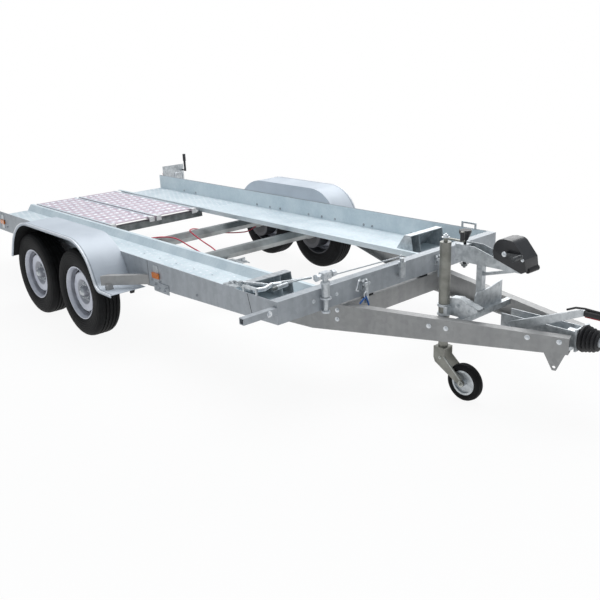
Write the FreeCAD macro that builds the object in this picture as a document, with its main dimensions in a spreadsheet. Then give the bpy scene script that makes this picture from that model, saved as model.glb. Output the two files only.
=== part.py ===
import FreeCAD, Part
import math
import os
import Sketcher

# Tilt car trailer, in millimetres. The coupling points along +X, the left side is +Y
# and the ground is the plane Z = 0. The frame's centre is midway along the trailer.

os.makedirs("parts", exist_ok=True)
doc = FreeCAD.newDocument("tilt_trailer")
sheet = doc.addObject("Spreadsheet::Sheet", "sizes")
Vector = FreeCAD.Vector
finished = []


# Sizes that know their formula

class Size:
    """A length or an angle that carries its number and its formula over the sheet's cells."""

    def __init__(self, number, formula):
        self.number = number
        self.formula = formula

    def __add__(self, other):
        other = size_of(other)
        return Size(self.number + other.number, f"({self.formula} + {other.formula})")

    def __sub__(self, other):
        other = size_of(other)
        return Size(self.number - other.number, f"({self.formula} - {other.formula})")

    def __mul__(self, factor):
        factor = size_of(factor)
        return Size(self.number * factor.number, f"({self.formula} * {factor.formula})")

    def __truediv__(self, divisor):
        divisor = size_of(divisor)
        return Size(self.number / divisor.number, f"({self.formula} / {divisor.formula})")

    def __neg__(self):
        return Size(-self.number, f"(0 - {self.formula})")

    def __radd__(self, other):
        return size_of(other) + self

    def __rsub__(self, other):
        return size_of(other) - self

    def __rmul__(self, other):
        return size_of(other) * self


def size_of(thing):
    """Turns a plain number into a Size and leaves a Size as it is."""
    if isinstance(thing, Size):
        return thing
    return Size(float(thing), f"({float(thing):.6f})")


def cell(name, number):
    """Writes one driving dimension to the sheet and returns it as a Size."""
    row = len(cell.rows) + 1
    cell.rows.append(name)
    sheet.set(f"A{row}", name)
    sheet.set(f"B{row}", str(number))
    sheet.setAlias(f"B{row}", name)
    return Size(float(number), f"sizes.{name}")


cell.rows = []


def tie(thing, property_name, size):
    """Binds one property of a document object to a size."""
    thing.setExpression(property_name, size_of(size).formula)


def place(thing, x, y, z):
    """Binds the position of a document object."""
    tie(thing, ".Placement.Base.x", x)
    tie(thing, ".Placement.Base.y", y)
    tie(thing, ".Placement.Base.z", z)


# Ways to build a solid

TURNS = {"X": (Vector(0, 1, 0), 90), "Y": (Vector(1, 0, 0), -90), "Z": (Vector(0, 0, 1), 0)}
FLIPPED = {"XY_Plane": 1, "XZ_Plane": -1, "YZ_Plane": 1}


def outline(body, name, plane, corners, start):
    """Draws a closed outline with straight sides on a plane of the body, moved to start."""
    sketch = body.newObject("Sketcher::SketchObject", name)
    base = [feature for feature in body.Origin.OriginFeatures if feature.Role == plane][0]
    sketch.AttachmentSupport = [(base, "")]
    sketch.MapMode = "FlatFace"
    tie(sketch, ".AttachmentOffset.Base.z", FLIPPED[plane] * size_of(start))
    points = [(size_of(across), size_of(up)) for across, up in corners]
    count = len(points)
    for index in range(count):
        here = points[index]
        there = points[(index + 1) % count]
        side = Part.LineSegment(
            Vector(here[0].number, here[1].number, 0), Vector(there[0].number, there[1].number, 0)
        )
        sketch.addGeometry(side, False)
    for index in range(count):
        sketch.addConstraint(Sketcher.Constraint("Coincident", index, 2, (index + 1) % count, 1))
    for index, (across, up) in enumerate(points):
        for kind, size in (("DistanceX", across), ("DistanceY", up)):
            number = sketch.addConstraint(Sketcher.Constraint(kind, -1, 1, index, 1, size.number))
            sketch.setExpression(f"Constraints[{number}]", size.formula)
    return sketch


def prism(name, plane, corners, low, high):
    """A body with a straight-sided outline that runs from low to high across its plane."""
    body = doc.addObject("PartDesign::Body", name)
    first = high if plane == "XZ_Plane" else low
    sketch = outline(body, name + "_outline", plane, corners, first)
    pad = body.newObject("PartDesign::Pad", name + "_pad")
    pad.Profile = sketch
    tie(pad, "Length", size_of(high) - low)
    doc.recompute()
    return body


def hollow(body, name, plane, corners, low, high):
    """Takes an outline between low and high out of a body."""
    sketch = outline(body, name + "_cut_outline", plane, corners, low)
    pocket = body.newObject("PartDesign::Pocket", name + "_cut")
    pocket.Profile = sketch
    pocket.Reversed = plane != "XZ_Plane"
    tie(pocket, "Length", size_of(high) - low)
    doc.recompute()
    return body


def rounded(body, name, radius, chosen):
    """Rounds the edges of the body's newest feature that the chosen test picks."""
    tip = body.Tip
    names = [f"Edge{number}" for number, edge in enumerate(tip.Shape.Edges, 1) if chosen(edge)]
    fillet = body.newObject("PartDesign::Fillet", name + "_rounding")
    fillet.Base = (tip, names)
    tie(fillet, "Radius", radius)
    doc.recompute()
    return body


def turned(name, corners, x, y, z, along="Y"):
    """A body of revolution: corners are (radius, distance along the axis) pairs."""
    body = doc.addObject("PartDesign::Body", name)
    sketch = outline(body, name + "_section", "XZ_Plane", corners, 0)
    spin = body.newObject("PartDesign::Revolution", name + "_spin")
    spin.Profile = sketch
    spin.ReferenceAxis = (sketch, ["V_Axis"])
    spin.Angle = 360
    axis, angle = TURNS[along]
    body.Placement = FreeCAD.Placement(Vector(), FreeCAD.Rotation(axis, angle))
    place(body, x, y, z)
    doc.recompute()
    return body


def block(name, x, y, z, length, width, height):
    """A box from its lowest corner."""
    thing = doc.addObject("Part::Box", name)
    tie(thing, "Length", length)
    tie(thing, "Width", width)
    tie(thing, "Height", height)
    place(thing, x, y, z)
    return thing


def rod(name, x, y, z, radius, length, along="Z"):
    """A cylinder from the centre of its lower end."""
    thing = doc.addObject("Part::Cylinder", name)
    tie(thing, "Radius", radius)
    tie(thing, "Height", length)
    axis, angle = TURNS[along]
    thing.Placement = FreeCAD.Placement(Vector(), FreeCAD.Rotation(axis, angle))
    place(thing, x, y, z)
    return thing


def strut(name, start, end, radius):
    """A cylinder between two points."""
    first = Vector(*start)
    along = Vector(*end) - first
    thing = doc.addObject("Part::Cylinder", name)
    tie(thing, "Radius", radius)
    tie(thing, "Height", along.Length)
    thing.Placement = FreeCAD.Placement(first, FreeCAD.Rotation(Vector(0, 0, 1), along))
    return thing


def cord(name, points, radius):
    """A round cord whose straight runs are joined by tangent arcs."""
    spots = [Vector(*point) for point in points]
    edges = []
    radii = []
    here = spots[0]
    for before, corner, after in zip(spots, spots[1:], spots[2:]):
        arriving = (corner - before).normalize()
        leaving = (after - corner).normalize()
        half_turn = arriving.getAngle(leaving) / 2
        reach = 0.45 * min((corner - before).Length, (after - corner).Length)
        bend = reach / math.tan(half_turn)
        inward = (leaving - arriving).normalize()
        middle = corner + inward * (bend / math.cos(half_turn) - bend)
        first = corner - arriving * reach
        last = corner + leaving * reach
        edges.append(Part.LineSegment(here, first).toShape())
        edges.append(Part.Arc(first, middle, last).toShape())
        radii.append(bend)
        here = last
    edges.append(Part.LineSegment(here, spots[-1]).toShape())
    path = Part.Wire(edges)
    ring = Part.Wire(Part.makeCircle(radius.number, spots[0], spots[1] - spots[0]))
    thing = doc.addObject("Part::Feature", name)
    thing.Shape = path.makePipeShell([ring], True, False)
    expected = math.pi * radius.number ** 2 * path.Length
    print(
        f"{name}: length {path.Length:.0f} mm, smallest radius {min(radii):.0f} mm,"
        f" volume over section times length {thing.Shape.Volume / expected:.4f}"
    )
    return thing


def joined(name, pieces):
    """Fuses pieces that touch into one solid."""
    thing = doc.addObject("Part::MultiFuse", name)
    thing.Shapes = pieces
    return thing


def without(name, base, tool):
    """Cuts one object out of another."""
    thing = doc.addObject("Part::Cut", name)
    thing.Base = base
    thing.Tool = tool
    return thing


def mirror(name, source):
    """The copy of an object on the other side of the trailer."""
    thing = doc.addObject("Part::Mirroring", name)
    thing.Source = source
    thing.Normal = Vector(0, 1, 0)
    thing.Base = Vector(0, 0, 0)
    return thing


def together(name, pieces):
    """Keeps separate solids in one object."""
    thing = doc.addObject("Part::Compound", name)
    thing.Links = pieces
    return thing


def both_sides(name, source):
    """A left piece and its mirrored right piece in one object."""
    return together(name, [source, mirror(name + "_right", source)])


def finish(thing, label):
    """Names an object as a finished sub-part."""
    thing.Label = label
    finished.append(thing)


# Driving dimensions

sheet_metal = cell("sheet_metal", 4)
plate = cell("plate", 8)
seat_gap = cell("seat_gap", 0.3)
deck_rear = cell("deck_rear", -2740)
deck_front = cell("deck_front", 1297)
half_width = cell("half_width", 935)
deck_top = cell("deck_top", 577)
floor_top = cell("floor_top", 444)
runway_inner = cell("runway_inner", 435)
lip_top = cell("lip_top", 495)
lip_width = cell("lip_width", 26)
lip_slope = cell("lip_slope", 34)
front_beam_depth = cell("front_beam_depth", 57)
front_beam_bottom = cell("front_beam_bottom", 458)
side_beam_bottom = cell("side_beam_bottom", 421)
side_beam_flange = cell("side_beam_flange", 44)
axle_middle = cell("axle_middle", -808)
axle_spacing = cell("axle_spacing", 670)
wheel_radius = cell("wheel_radius", 294.5)
wheel_outer = cell("wheel_outer", 1150)
tyre_width = cell("tyre_width", 165)
rim_radius = cell("rim_radius", 177)
arm_reach = cell("arm_reach", 150)
axle_height = cell("axle_height", 360)
axle_size = cell("axle_size", 42)
beam_angle = cell("beam_angle", 17.5)
drawbar_top = cell("drawbar_top", 434)
drawbar_nose = cell("drawbar_nose", 2392)
drawbar_nose_half = cell("drawbar_nose_half", 108)
drawbar_flange = cell("drawbar_flange", 50)
drawbar_steel = cell("drawbar_steel", 5)
pivot_reach = cell("pivot_reach", -80)
pivot_height = cell("pivot_height", 404)
jockey_reach = cell("jockey_reach", 1760)
jockey_side = cell("jockey_side", -215)
jockey_tube_radius = cell("jockey_tube_radius", 28.5)
jockey_wheel_radius = cell("jockey_wheel_radius", 100)
jockey_trail = cell("jockey_trail", 144)
doc.recompute()

slope = math.tan(math.radians(beam_angle.number))
beam_slope = Size(slope, f"tan({beam_angle.formula} * 1deg)")
beam_cosine = Size(math.cos(math.radians(beam_angle.number)), f"cos({beam_angle.formula} * 1deg)")
front_back = deck_front - front_beam_depth


def beam_line(x):
    """How far from the middle the outer face of a drawbar beam is, at a distance along the trailer."""
    return drawbar_nose_half + (drawbar_nose - x) * beam_slope


# Side beams: L-shaped sections whose lower edge rises towards the front

rise_start = cell("rise_start", 367)
side_corners = [
    (deck_rear, deck_top),
    (deck_rear, side_beam_bottom),
    (rise_start, side_beam_bottom),
    (deck_front, front_beam_bottom),
    (deck_front, deck_top),
]
side_inside = [
    (deck_rear - 10, deck_top + 10),
    (deck_rear - 10, side_beam_bottom + sheet_metal),
    (rise_start, side_beam_bottom + sheet_metal),
    (front_back, front_beam_bottom + sheet_metal - 2),
    (front_back, front_beam_bottom - 20),
    (deck_front + 10, front_beam_bottom - 20),
    (deck_front + 10, deck_top + 10),
]
left_beam = prism(
    "left_side_beam", "XZ_Plane", side_corners, half_width - side_beam_flange, half_width
)
hollow(
    left_beam, "left_side_beam", "XZ_Plane", side_inside,
    half_width - side_beam_flange, half_width - sheet_metal,
)
finish(both_sides("beam_pair", left_beam), "side_beams")

# Runways: folded sheets with a sloped inner lip, an outer upstand and a row of drain holes

runway_outer = half_width - sheet_metal
lip_edge = runway_inner + lip_width
floor_edge = lip_edge + lip_slope
runway_section = [
    (runway_inner, lip_top - sheet_metal),
    (lip_edge - 4, lip_top - sheet_metal),
    (floor_edge - 4, floor_top - sheet_metal),
    (runway_outer, floor_top - sheet_metal),
    (runway_outer, deck_top - sheet_metal),
    (runway_outer - sheet_metal, deck_top - sheet_metal),
    (runway_outer - sheet_metal, floor_top),
    (floor_edge, floor_top),
    (lip_edge, lip_top),
    (runway_inner, lip_top),
]
drain_radius = cell("drain_radius", 7.5)
drain_first = cell("drain_first", -516)
drain_pitch = cell("drain_pitch", 200)
drain_side = cell("drain_side", 604)
drain_count = 6
left_floor = prism("left_floor", "YZ_Plane", runway_section, deck_rear, front_back)
drains = [
    rod(f"drain_{number}", drain_first + drain_pitch * number, drain_side, floor_top - 20,
        drain_radius, 40)
    for number in range(drain_count)
]
beam_notch = block(
    "beam_notch", rise_start + 370, half_width - side_beam_flange - 4, floor_top - 20, 600, 60, 40
)
left_runway = without("left_runway_cut", left_floor, together("floor_cuts", drains + [beam_notch]))
finish(left_runway, "left_runway")
finish(mirror("right_floor", left_runway), "right_runway")

# Front beam: a channel across the front, open to the rear

front_section = [
    (deck_front, front_beam_bottom),
    (deck_front, deck_top),
    (front_back, deck_top),
    (front_back, deck_top - sheet_metal),
    (deck_front - sheet_metal, deck_top - sheet_metal),
    (deck_front - sheet_metal, front_beam_bottom + sheet_metal),
    (front_back, front_beam_bottom + sheet_metal),
    (front_back, front_beam_bottom),
]
finish(
    prism("front_channel", "XZ_Plane", front_section, sheet_metal - half_width, runway_outer),
    "front_beam",
)

# Cross beams: one at the rear end and one under the front ends of the ramps

ramp_front = cell("ramp_front", -1372)
cross_top = cell("cross_top", 458)
cross_reach = cell("cross_reach", 495)
cross_height = cell("cross_height", 37)
cross_width = cell("cross_width", 50)
tube_top = floor_top - sheet_metal - seat_gap


def cross_beam(name, x):
    """A flat tube under the two runways, with a bearer for the ramps between them."""
    low = tube_top - cross_height
    outside = block(name + "_outside", x, -cross_reach, low, cross_width, 2 * cross_reach, cross_height)
    inside = block(
        name + "_inside", x + sheet_metal, -cross_reach - 10, low + sheet_metal,
        cross_width - 2 * sheet_metal, 2 * cross_reach + 20, cross_height - 2 * sheet_metal,
    )
    bearer = block(name + "_bearer", x, -430, tube_top, cross_width, 860, cross_top - tube_top)
    return joined(name, [without(name + "_tube", outside, inside), bearer])


cross_beams = together(
    "cross_pair",
    [cross_beam("rear_cross", deck_rear + 5), cross_beam("ramp_cross", ramp_front - 62)],
)
finish(cross_beams, "cross_beams")

# Loading ramps: two folded trays that lie on the cross beams, each with two hooks in front

ramp_inner = cell("ramp_inner", 14)
ramp_outer = cell("ramp_outer", 405)
ramp_height = cell("ramp_height", 30)
ramp_section = [
    (ramp_inner, cross_top + seat_gap),
    (ramp_inner, cross_top + ramp_height),
    (ramp_outer, cross_top + ramp_height),
    (ramp_outer, cross_top + seat_gap),
    (ramp_outer - sheet_metal, cross_top + seat_gap),
    (ramp_outer - sheet_metal, cross_top + ramp_height - sheet_metal),
    (ramp_inner + sheet_metal, cross_top + ramp_height - sheet_metal),
    (ramp_inner + sheet_metal, cross_top + seat_gap),
]
tray = prism("left_tray", "YZ_Plane", ramp_section, deck_rear, ramp_front)
hooks = [
    block(f"hook_{number}", ramp_front - 4, side, cross_top + 14, 34, 40, 12)
    for number, side in enumerate((ramp_inner, ramp_outer - 40))
]
finish(both_sides("trays", joined("left_ramp", [tray] + hooks)), "loading_ramps")

# Axles: hexagonal rubber-sprung tubes with trailing arms and stub axles

hub_radius = cell("hub_radius", 17)
arm_inner = cell("arm_inner", 884)
arm_thickness = cell("arm_thickness", 22)


def axle(name, wheel_x, label):
    """One axle: the tube lies ahead of the wheel's centre by the reach of the arms."""
    tube = doc.addObject("Part::Prism", name + "_tube")
    tube.Polygon = 6
    tie(tube, "Circumradius", axle_size)
    tie(tube, "Height", 2 * arm_inner)
    tube.Placement = FreeCAD.Placement(Vector(), FreeCAD.Rotation(Vector(1, 0, 0), -90))
    place(tube, wheel_x + arm_reach, -arm_inner, axle_height)
    arm_corners = [
        (wheel_x - 30, wheel_radius - 26),
        (wheel_x + 30, wheel_radius - 26),
        (wheel_x + arm_reach + 30, axle_height - 32),
        (wheel_x + arm_reach + 30, axle_height + 32),
        (wheel_x + arm_reach - 20, axle_height + 32),
        (wheel_x - 30, wheel_radius + 26),
    ]
    arm = prism(name + "_arm", "XZ_Plane", arm_corners, arm_inner, arm_inner + arm_thickness)
    stub = rod(
        name + "_stub", wheel_x, arm_inner + arm_thickness - 1, wheel_radius, hub_radius, 174, "Y"
    )
    seat = axle_height + axle_size * 0.866025
    bracket = block(
        name + "_bracket", wheel_x + arm_reach - 20, 640, axle_height, 40, 40,
        floor_top - sheet_metal - axle_height - seat_gap,
    )
    saddle = block(name + "_saddle", wheel_x + arm_reach - 50, 640, seat + 8, 100, 40, 12)
    gland = rod(name + "_gland", wheel_x + 106, arm_inner - 22, wheel_radius + 50.5, 9, 24, "Y")
    left = joined(name + "_left_end", [arm, stub, bracket, saddle, gland])
    whole = joined(name, [tube, left, mirror(name + "_right_end", left)])
    finish(whole, label)


front_wheel = axle_middle + axle_spacing / 2
rear_wheel = axle_middle - axle_spacing / 2
axle("front_axle_set", front_wheel, "front_axle")
axle("rear_axle_set", rear_wheel, "rear_axle")

# Brake linkage: a plate under the front axle with a gland block and two threaded adjusters

link_top = axle_height - axle_size * 0.866025 - seat_gap
cable_end_x = cell("cable_end_x", -297)
cable_end_z = cell("cable_end_z", 309)
cable_radius = cell("cable_radius", 5)
link_plate = block("link_plate", cable_end_x + 12, -133, link_top - 6, 153, 112, 6)
link_upright = block("link_upright", cable_end_x + 159, -133, link_top - 6, 6, 112, 43)
gland_block = block("gland_block", cable_end_x, -118, cable_end_z - 9, 22, 76, 18)
adjusters = [
    piece
    for number, side in enumerate((-107, -47))
    for piece in (
        rod(f"adjuster_{number}", -150, side, 340, 5, 97, "X"),
        rod(f"adjuster_sleeve_{number}", -125, side, 340, 9, 40, "X"),
    )
]
finish(
    joined("linkage", [link_plate, link_upright, gland_block] + adjusters), "brake_linkage"
)

# Brake cables: red sheaths from the rear wheels' arms, behind and over the rear axle, to the
# linkage under the front axle

right_route = [
    (-1037, -862, 345),
    (-1037, -800, 352),
    (-1030, -700, 384),
    (-1031, -570, 391),
    (-1030, -440, 395),
    (-1018, -350, 407),
    (-996, -270, 412),
    (-960, -185, 412),
    (-915, -112, 400),
    (-840, -92, 380),
    (-716, -108, 366),
    (-590, -124, 356),
    (-480, -121, 334),
    (-380, -108, 312),
    (-297, -103, 309),
]
left_route = [
    (-1037, 862, 345),
    (-1042, 812, 302),
    (-1045, 724, 270),
    (-1045, 615, 281),
    (-1045, 510, 299),
    (-1046, 400, 325),
    (-1046, 300, 353),
    (-1040, 215, 386),
    (-1018, 140, 408),
    (-970, 74, 412),
    (-900, 58, 400),
    (-800, 46, 378),
    (-680, 24, 364),
    (-560, -2, 356),
    (-450, -26, 336),
    (-366, -48, 314),
    (-297, -57, 309),
]
finish(cord("left_cable", left_route, cable_radius), "left_brake_cable")
finish(cord("right_cable", right_route, cable_radius), "right_brake_cable")

# Road wheels: tyre, dished steel rim with vent holes, and brake drum behind it

drum_radius = cell("drum_radius", 115)
tyre_inner = wheel_outer - tyre_width
tyre_section = [
    (rim_radius - 8, tyre_inner + 22),
    (rim_radius + 50, tyre_inner + 2),
    (wheel_radius - 25, tyre_inner + 2),
    (wheel_radius - 4, tyre_inner + 18),
    (wheel_radius, tyre_inner + 50),
    (wheel_radius, wheel_outer - 50),
    (wheel_radius - 4, wheel_outer - 18),
    (wheel_radius - 25, wheel_outer - 2),
    (rim_radius + 50, wheel_outer - 2),
    (rim_radius - 8, wheel_outer - 22),
]
rim_section = [
    (30, wheel_outer - 62),
    (62, wheel_outer - 62),
    (84, wheel_outer - 46),
    (130, wheel_outer - 46),
    (148, wheel_outer - 62),
    (rim_radius - 18, wheel_outer - 62),
    (rim_radius - 18, wheel_outer - 34),
    (rim_radius - 6, wheel_outer - 12),
    (rim_radius, wheel_outer - 12),
    (rim_radius, wheel_outer - 17),
    (rim_radius - 8.3, wheel_outer - 21.3),
    (rim_radius - 8.3, tyre_inner + 21.3),
    (rim_radius, tyre_inner + 17),
    (rim_radius, tyre_inner + 12),
    (rim_radius - 6, tyre_inner + 12),
    (rim_radius - 14, tyre_inner + 30),
    (rim_radius - 14, tyre_inner + 50),
    (rim_radius - 26, wheel_outer - 70),
    (142, wheel_outer - 70),
    (126, wheel_outer - 54),
    (88, wheel_outer - 54),
    (66, wheel_outer - 70),
    (30, wheel_outer - 70),
]
drum_inner = arm_inner + arm_thickness + 24
drum_section = [
    (hub_radius + 0.05, drum_inner),
    (drum_radius, drum_inner),
    (drum_radius, wheel_outer - 110),
    (62, wheel_outer - 92),
    (62, wheel_outer - 70),
    (40, wheel_outer - 66),
    (30, wheel_outer - 40),
    (24, wheel_outer - 34),
    (0, wheel_outer - 34),
    (0, wheel_outer - 70),
    (hub_radius + 0.05, wheel_outer - 70),
]


def road_wheel(name, x):
    """One left wheel with its mirrored right wheel: two tyres and two rims with drums."""
    tyre = turned(name + "_tyre", tyre_section, x, 0, wheel_radius)
    disc = turned(name + "_disc", rim_section, x, 0, wheel_radius)
    drum = turned(name + "_drum", drum_section, x, 0, wheel_radius)
    wheel = joined(name + "_wheel", [disc, drum])
    finish(tyre, f"left_{name}_tyre")
    finish(mirror(name + "_tyre_right", tyre), f"right_{name}_tyre")
    finish(wheel, f"left_{name}_wheel")
    finish(mirror(name + "_wheel_right", wheel), f"right_{name}_wheel")


road_wheel("front", front_wheel)
road_wheel("rear", rear_wheel)

# Fenders: a folded arch over both wheels of a side, a wall beside the deck and a rolled lip

fender_rear = cell("fender_rear", -1450)
fender_rear_top = cell("fender_rear_top", -1302)
fender_front_top = cell("fender_front_top", -268)
fender_front = cell("fender_front", -140)
fender_toe = cell("fender_toe", 36)
fender_top = cell("fender_top", 678)
fender_heel = cell("fender_heel", 381)
fender_foot = cell("fender_foot", 397)
fender_gap = cell("fender_gap", 0.3)
fender_outer = cell("fender_outer", 1175)
fender_sheet = cell("fender_sheet", 3)
lip_depth = cell("lip_depth", 18)
rear_curve = cell("rear_curve", 340)
front_curve = cell("front_curve", 290)
foot_curve = cell("foot_curve", 60)
fender_inner = half_width + fender_gap
wall_bottom = floor_top + 50


def arch(name, depth, over, low, high):
    """A block under the fender's outline moved inwards by depth, with its corners rounded."""
    depth = size_of(depth)
    roof = fender_top - depth
    foot = fender_foot - depth
    base = fender_heel - over
    rear_corner = (fender_rear_top + 0.62 * depth, roof)
    front_corner = (fender_front_top - 0.64 * depth, roof)
    foot_corner = (fender_front - 0.64 * depth, foot)
    corners = [
        (fender_rear + 1.12 * depth - over * 0.5, base),
        rear_corner,
        front_corner,
        foot_corner,
        (fender_toe + over, foot),
        (fender_toe + over, base),
    ]
    body = prism(name, "XZ_Plane", corners, low, high)

    def round_corner(step, corner, radius):
        across = corner[0].number
        up = corner[1].number

        def at_corner(edge):
            ends = [vertex.Point for vertex in edge.Vertexes]
            return all(abs(point.x - across) < 1 and abs(point.z - up) < 1 for point in ends)

        rounded(body, name + step, radius, at_corner)

    round_corner("_rear", rear_corner, rear_curve - depth)
    round_corner("_front", front_corner, front_curve - depth)
    round_corner("_foot", foot_corner, foot_curve + depth)
    return body


fender_shell = without(
    "fender_shell",
    arch("fender_outside", 0, 0, fender_inner, fender_outer),
    arch("fender_inside", fender_sheet, 10, fender_inner - 10, fender_outer + 10),
)
fender_lip = without(
    "fender_lip",
    arch("lip_outside", 0, 0, fender_outer - fender_sheet, fender_outer),
    arch("lip_inside", lip_depth, 10, fender_outer - 20, fender_outer + 10),
)
fender_wall = without(
    "fender_wall",
    arch("wall_outside", 0, 0, fender_inner, fender_inner + fender_sheet),
    block("below_wall", -1600, fender_inner - 10, 300, 1800, 30, wall_bottom - 300),
)
left_fender = joined("left_fender_sheet", [fender_shell, fender_lip, fender_wall])
finish(both_sides("fender_pair", left_fender), "fenders")

# Fender brackets: angle irons from the side beams out to the ends of the fenders

stay_low = cell("stay_low", 422)
stay_height = cell("stay_height", 60)
stay_outer = cell("stay_outer", 1150)
stay_spread = cell("stay_spread", 204)
front_stay_end = cell("front_stay_end", -120)
rear_stay_end = cell("rear_stay_end", -1430)


def stay(name, outer_x, way):
    """An angle iron whose inner end lies further from the wheels than its outer end."""
    inner_x = outer_x + way * stay_spread
    web_corners = [
        (inner_x, half_width),
        (inner_x + way * sheet_metal, half_width),
        (outer_x + way * sheet_metal, stay_outer),
        (outer_x, stay_outer),
    ]
    flange_corners = [
        (inner_x - way * 36, half_width),
        (inner_x, half_width),
        (outer_x, stay_outer),
        (outer_x, stay_outer - 58),
    ]
    web = prism(name + "_web", "XY_Plane", web_corners, stay_low, stay_low + stay_height)
    top = stay_low + stay_height
    flange = prism(name + "_flange", "XY_Plane", flange_corners, top - sheet_metal, top)
    return joined(name, [web, flange])


lug_bottom = fender_foot + seat_gap
stay_lug = block("stay_lug", front_stay_end + 20, 1095, lug_bottom, 30, 40, stay_low + 8 - lug_bottom)
front_stay = joined("front_stay_lugged", [stay("front_stay", front_stay_end, size_of(1)), stay_lug])
left_stays = together("left_stays", [front_stay, stay("rear_stay", rear_stay_end, size_of(-1))])
finish(both_sides("stays", left_stays), "fender_brackets")

# Side markers: amber reflectors on the side beams, two a side

marker_front = block("marker_front", 146, half_width + 4, 480, 72, 8, 34)
marker_rear = block("marker_rear", deck_rear + 532, half_width + 4, 480, 72, 8, 34)
left_markers = together("left_markers", [marker_front, marker_rear])
finish(both_sides("markers", left_markers), "side_markers")
backing_front = block("backing_front", 156, half_width, 428, 52, 4, 130)
backing_rear = block("backing_rear", deck_rear + 542, half_width, 446, 52, 4, 112)
left_backings = together("left_backings", [backing_front, backing_rear])
finish(both_sides("backings", left_backings), "marker_plates")

# Wheel stops: bent sheets across the runways with upright cheeks, open to the front

stop_rear = cell("stop_rear", 790)
stop_inner = cell("stop_inner", 520)
stop_outer = cell("stop_outer", 850)
stop_height = cell("stop_height", 129)
stop_corners = [
    (stop_rear, floor_top + seat_gap),
    (stop_rear + 90, floor_top + stop_height),
    (stop_rear + 142, floor_top + stop_height),
    (stop_rear + 165, floor_top + seat_gap),
]
stop_inside = [
    (stop_rear - 2, floor_top - 10),
    (stop_rear + 92, floor_top + stop_height - sheet_metal),
    (stop_rear + 180, floor_top + stop_height - sheet_metal),
    (stop_rear + 180, floor_top - 10),
]
cheek_middle = stop_inner + 80
stop = prism("stop_sheet", "XZ_Plane", stop_corners, stop_inner, stop_outer)
hollow(stop, "stop_narrow", "XZ_Plane", stop_inside, stop_inner + sheet_metal, cheek_middle)
hollow(
    stop, "stop_wide", "XZ_Plane", stop_inside, cheek_middle + sheet_metal, stop_outer - sheet_metal
)
finish(both_sides("stops", stop), "wheel_stops")

# Rear corner plates: upright lamp plates beside the rear ends of the side beams

rear_plate_x = cell("rear_plate_x", -2680)
plate_low = cell("plate_low", 456)
plate_high = cell("plate_high", 666)
upright = block(
    "upright", rear_plate_x, half_width, plate_low, 4, 250, plate_high - plate_low
)
fold = block("fold", rear_plate_x, half_width, plate_low, 60, 4, plate_high - plate_low)
lamp = block("lamp", rear_plate_x - 40, half_width + 20, plate_low + 30, 40, 210, 110)
finish(both_sides("lamps", lamp), "rear_lamps")

# Rear clamp handles: cranked screws with a black grip, one in each corner plate

clamp_side = cell("clamp_side", 1150)
clamp_height = cell("clamp_height", 611)
boss = rod("boss", rear_plate_x, clamp_side, clamp_height, 14, 28, "X")
boss_bore = rod("boss_bore", rear_plate_x + 4, clamp_side, clamp_height, 6.05, 34, "X")
corner_plate = without("corner_plate", joined("upright_plate", [upright, fold, boss]), boss_bore)
finish(both_sides("uprights", corner_plate), "rear_corner_plates")
screw = rod("clamp_screw", rear_plate_x + 5, clamp_side, clamp_height, 6, 80, "X")
crank = rod("clamp_crank", rear_plate_x + 88, clamp_side, clamp_height - 8, 11, 110, "Z")
clamp_grip = rod("clamp_grip", rear_plate_x + 88, clamp_side, clamp_height + 95, 15, 70, "Z")
clamp_handle = joined("clamp_handle", [screw, crank, clamp_grip])
finish(clamp_handle, "left_clamp_handle")
finish(mirror("clamp_handle_right", clamp_handle), "right_clamp_handle")

# Pivot brackets: two cheeks on each side that hang from the runways and carry the drawbar's pins

cheek_corners = [
    (pivot_reach - 35, floor_top - sheet_metal),
    (pivot_reach - 20, pivot_height - 28),
    (pivot_reach + 20, pivot_height - 28),
    (pivot_reach + 35, floor_top - sheet_metal),
]
inner_cheek = prism("inner_cheek", "XZ_Plane", cheek_corners, 796, 806)
outer_cheek = prism("outer_cheek", "XZ_Plane", cheek_corners, 866, 876)
pivot_pin = rod("pivot_pin", pivot_reach, 790, pivot_height, 12, 92, "Y")
finish(both_sides("pivots", joined("pivot", [inner_cheek, outer_cheek, pivot_pin])), "pivot_brackets")

# Drawbar beams: tapered channels that spread from the coupling back to the pivots

beam_length = (drawbar_nose - pivot_reach - 40) / beam_cosine
beam_bottom = [
    (-beam_length, 376),
    (-(drawbar_nose - 1093) / beam_cosine, 275),
    (-(drawbar_nose - 1481) / beam_cosine, 299),
    (size_of(0), 353),
]


def beam_outline(grow):
    """The side view of a drawbar beam, made smaller by grow above and below and longer at its ends."""
    rear = -beam_length - grow * 4
    front = size_of(grow * 4)
    return [
        (rear, drawbar_top - grow),
        (rear, beam_bottom[0][1] + grow),
        (beam_bottom[1][0], beam_bottom[1][1] + grow),
        (beam_bottom[2][0], beam_bottom[2][1] + grow),
        (front, beam_bottom[3][1] + grow),
        (front, drawbar_top - grow),
    ]


channel = prism("beam_channel", "XZ_Plane", beam_outline(size_of(0)), -drawbar_flange, 0)
hollow(
    channel, "beam_channel", "XZ_Plane", beam_outline(drawbar_steel),
    -drawbar_flange, -drawbar_steel,
)
channel.Placement = FreeCAD.Placement(Vector(), FreeCAD.Rotation(Vector(0, 0, 1), -beam_angle.number))
place(channel, drawbar_nose, drawbar_nose_half, 0)
tie(channel, ".Placement.Rotation.Angle", -beam_angle)
tongue = block(
    "tongue", pivot_reach, beam_line(pivot_reach + 40) - 38, pivot_height - 20, 90, 24, 40
)
sleeve = rod("sleeve", pivot_reach, 812, pivot_height, 22, 48, "Y")
sleeve_bore = rod("sleeve_bore", pivot_reach, 700, pivot_height, 12.05, 200, "Y")
left_drawbar = without("left_drawbar", joined("left_arm", [channel, tongue, sleeve]), sleeve_bore)
finish(left_drawbar, "left_drawbar_beam")
finish(mirror("right_drawbar", left_drawbar), "right_drawbar_beam")

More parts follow.
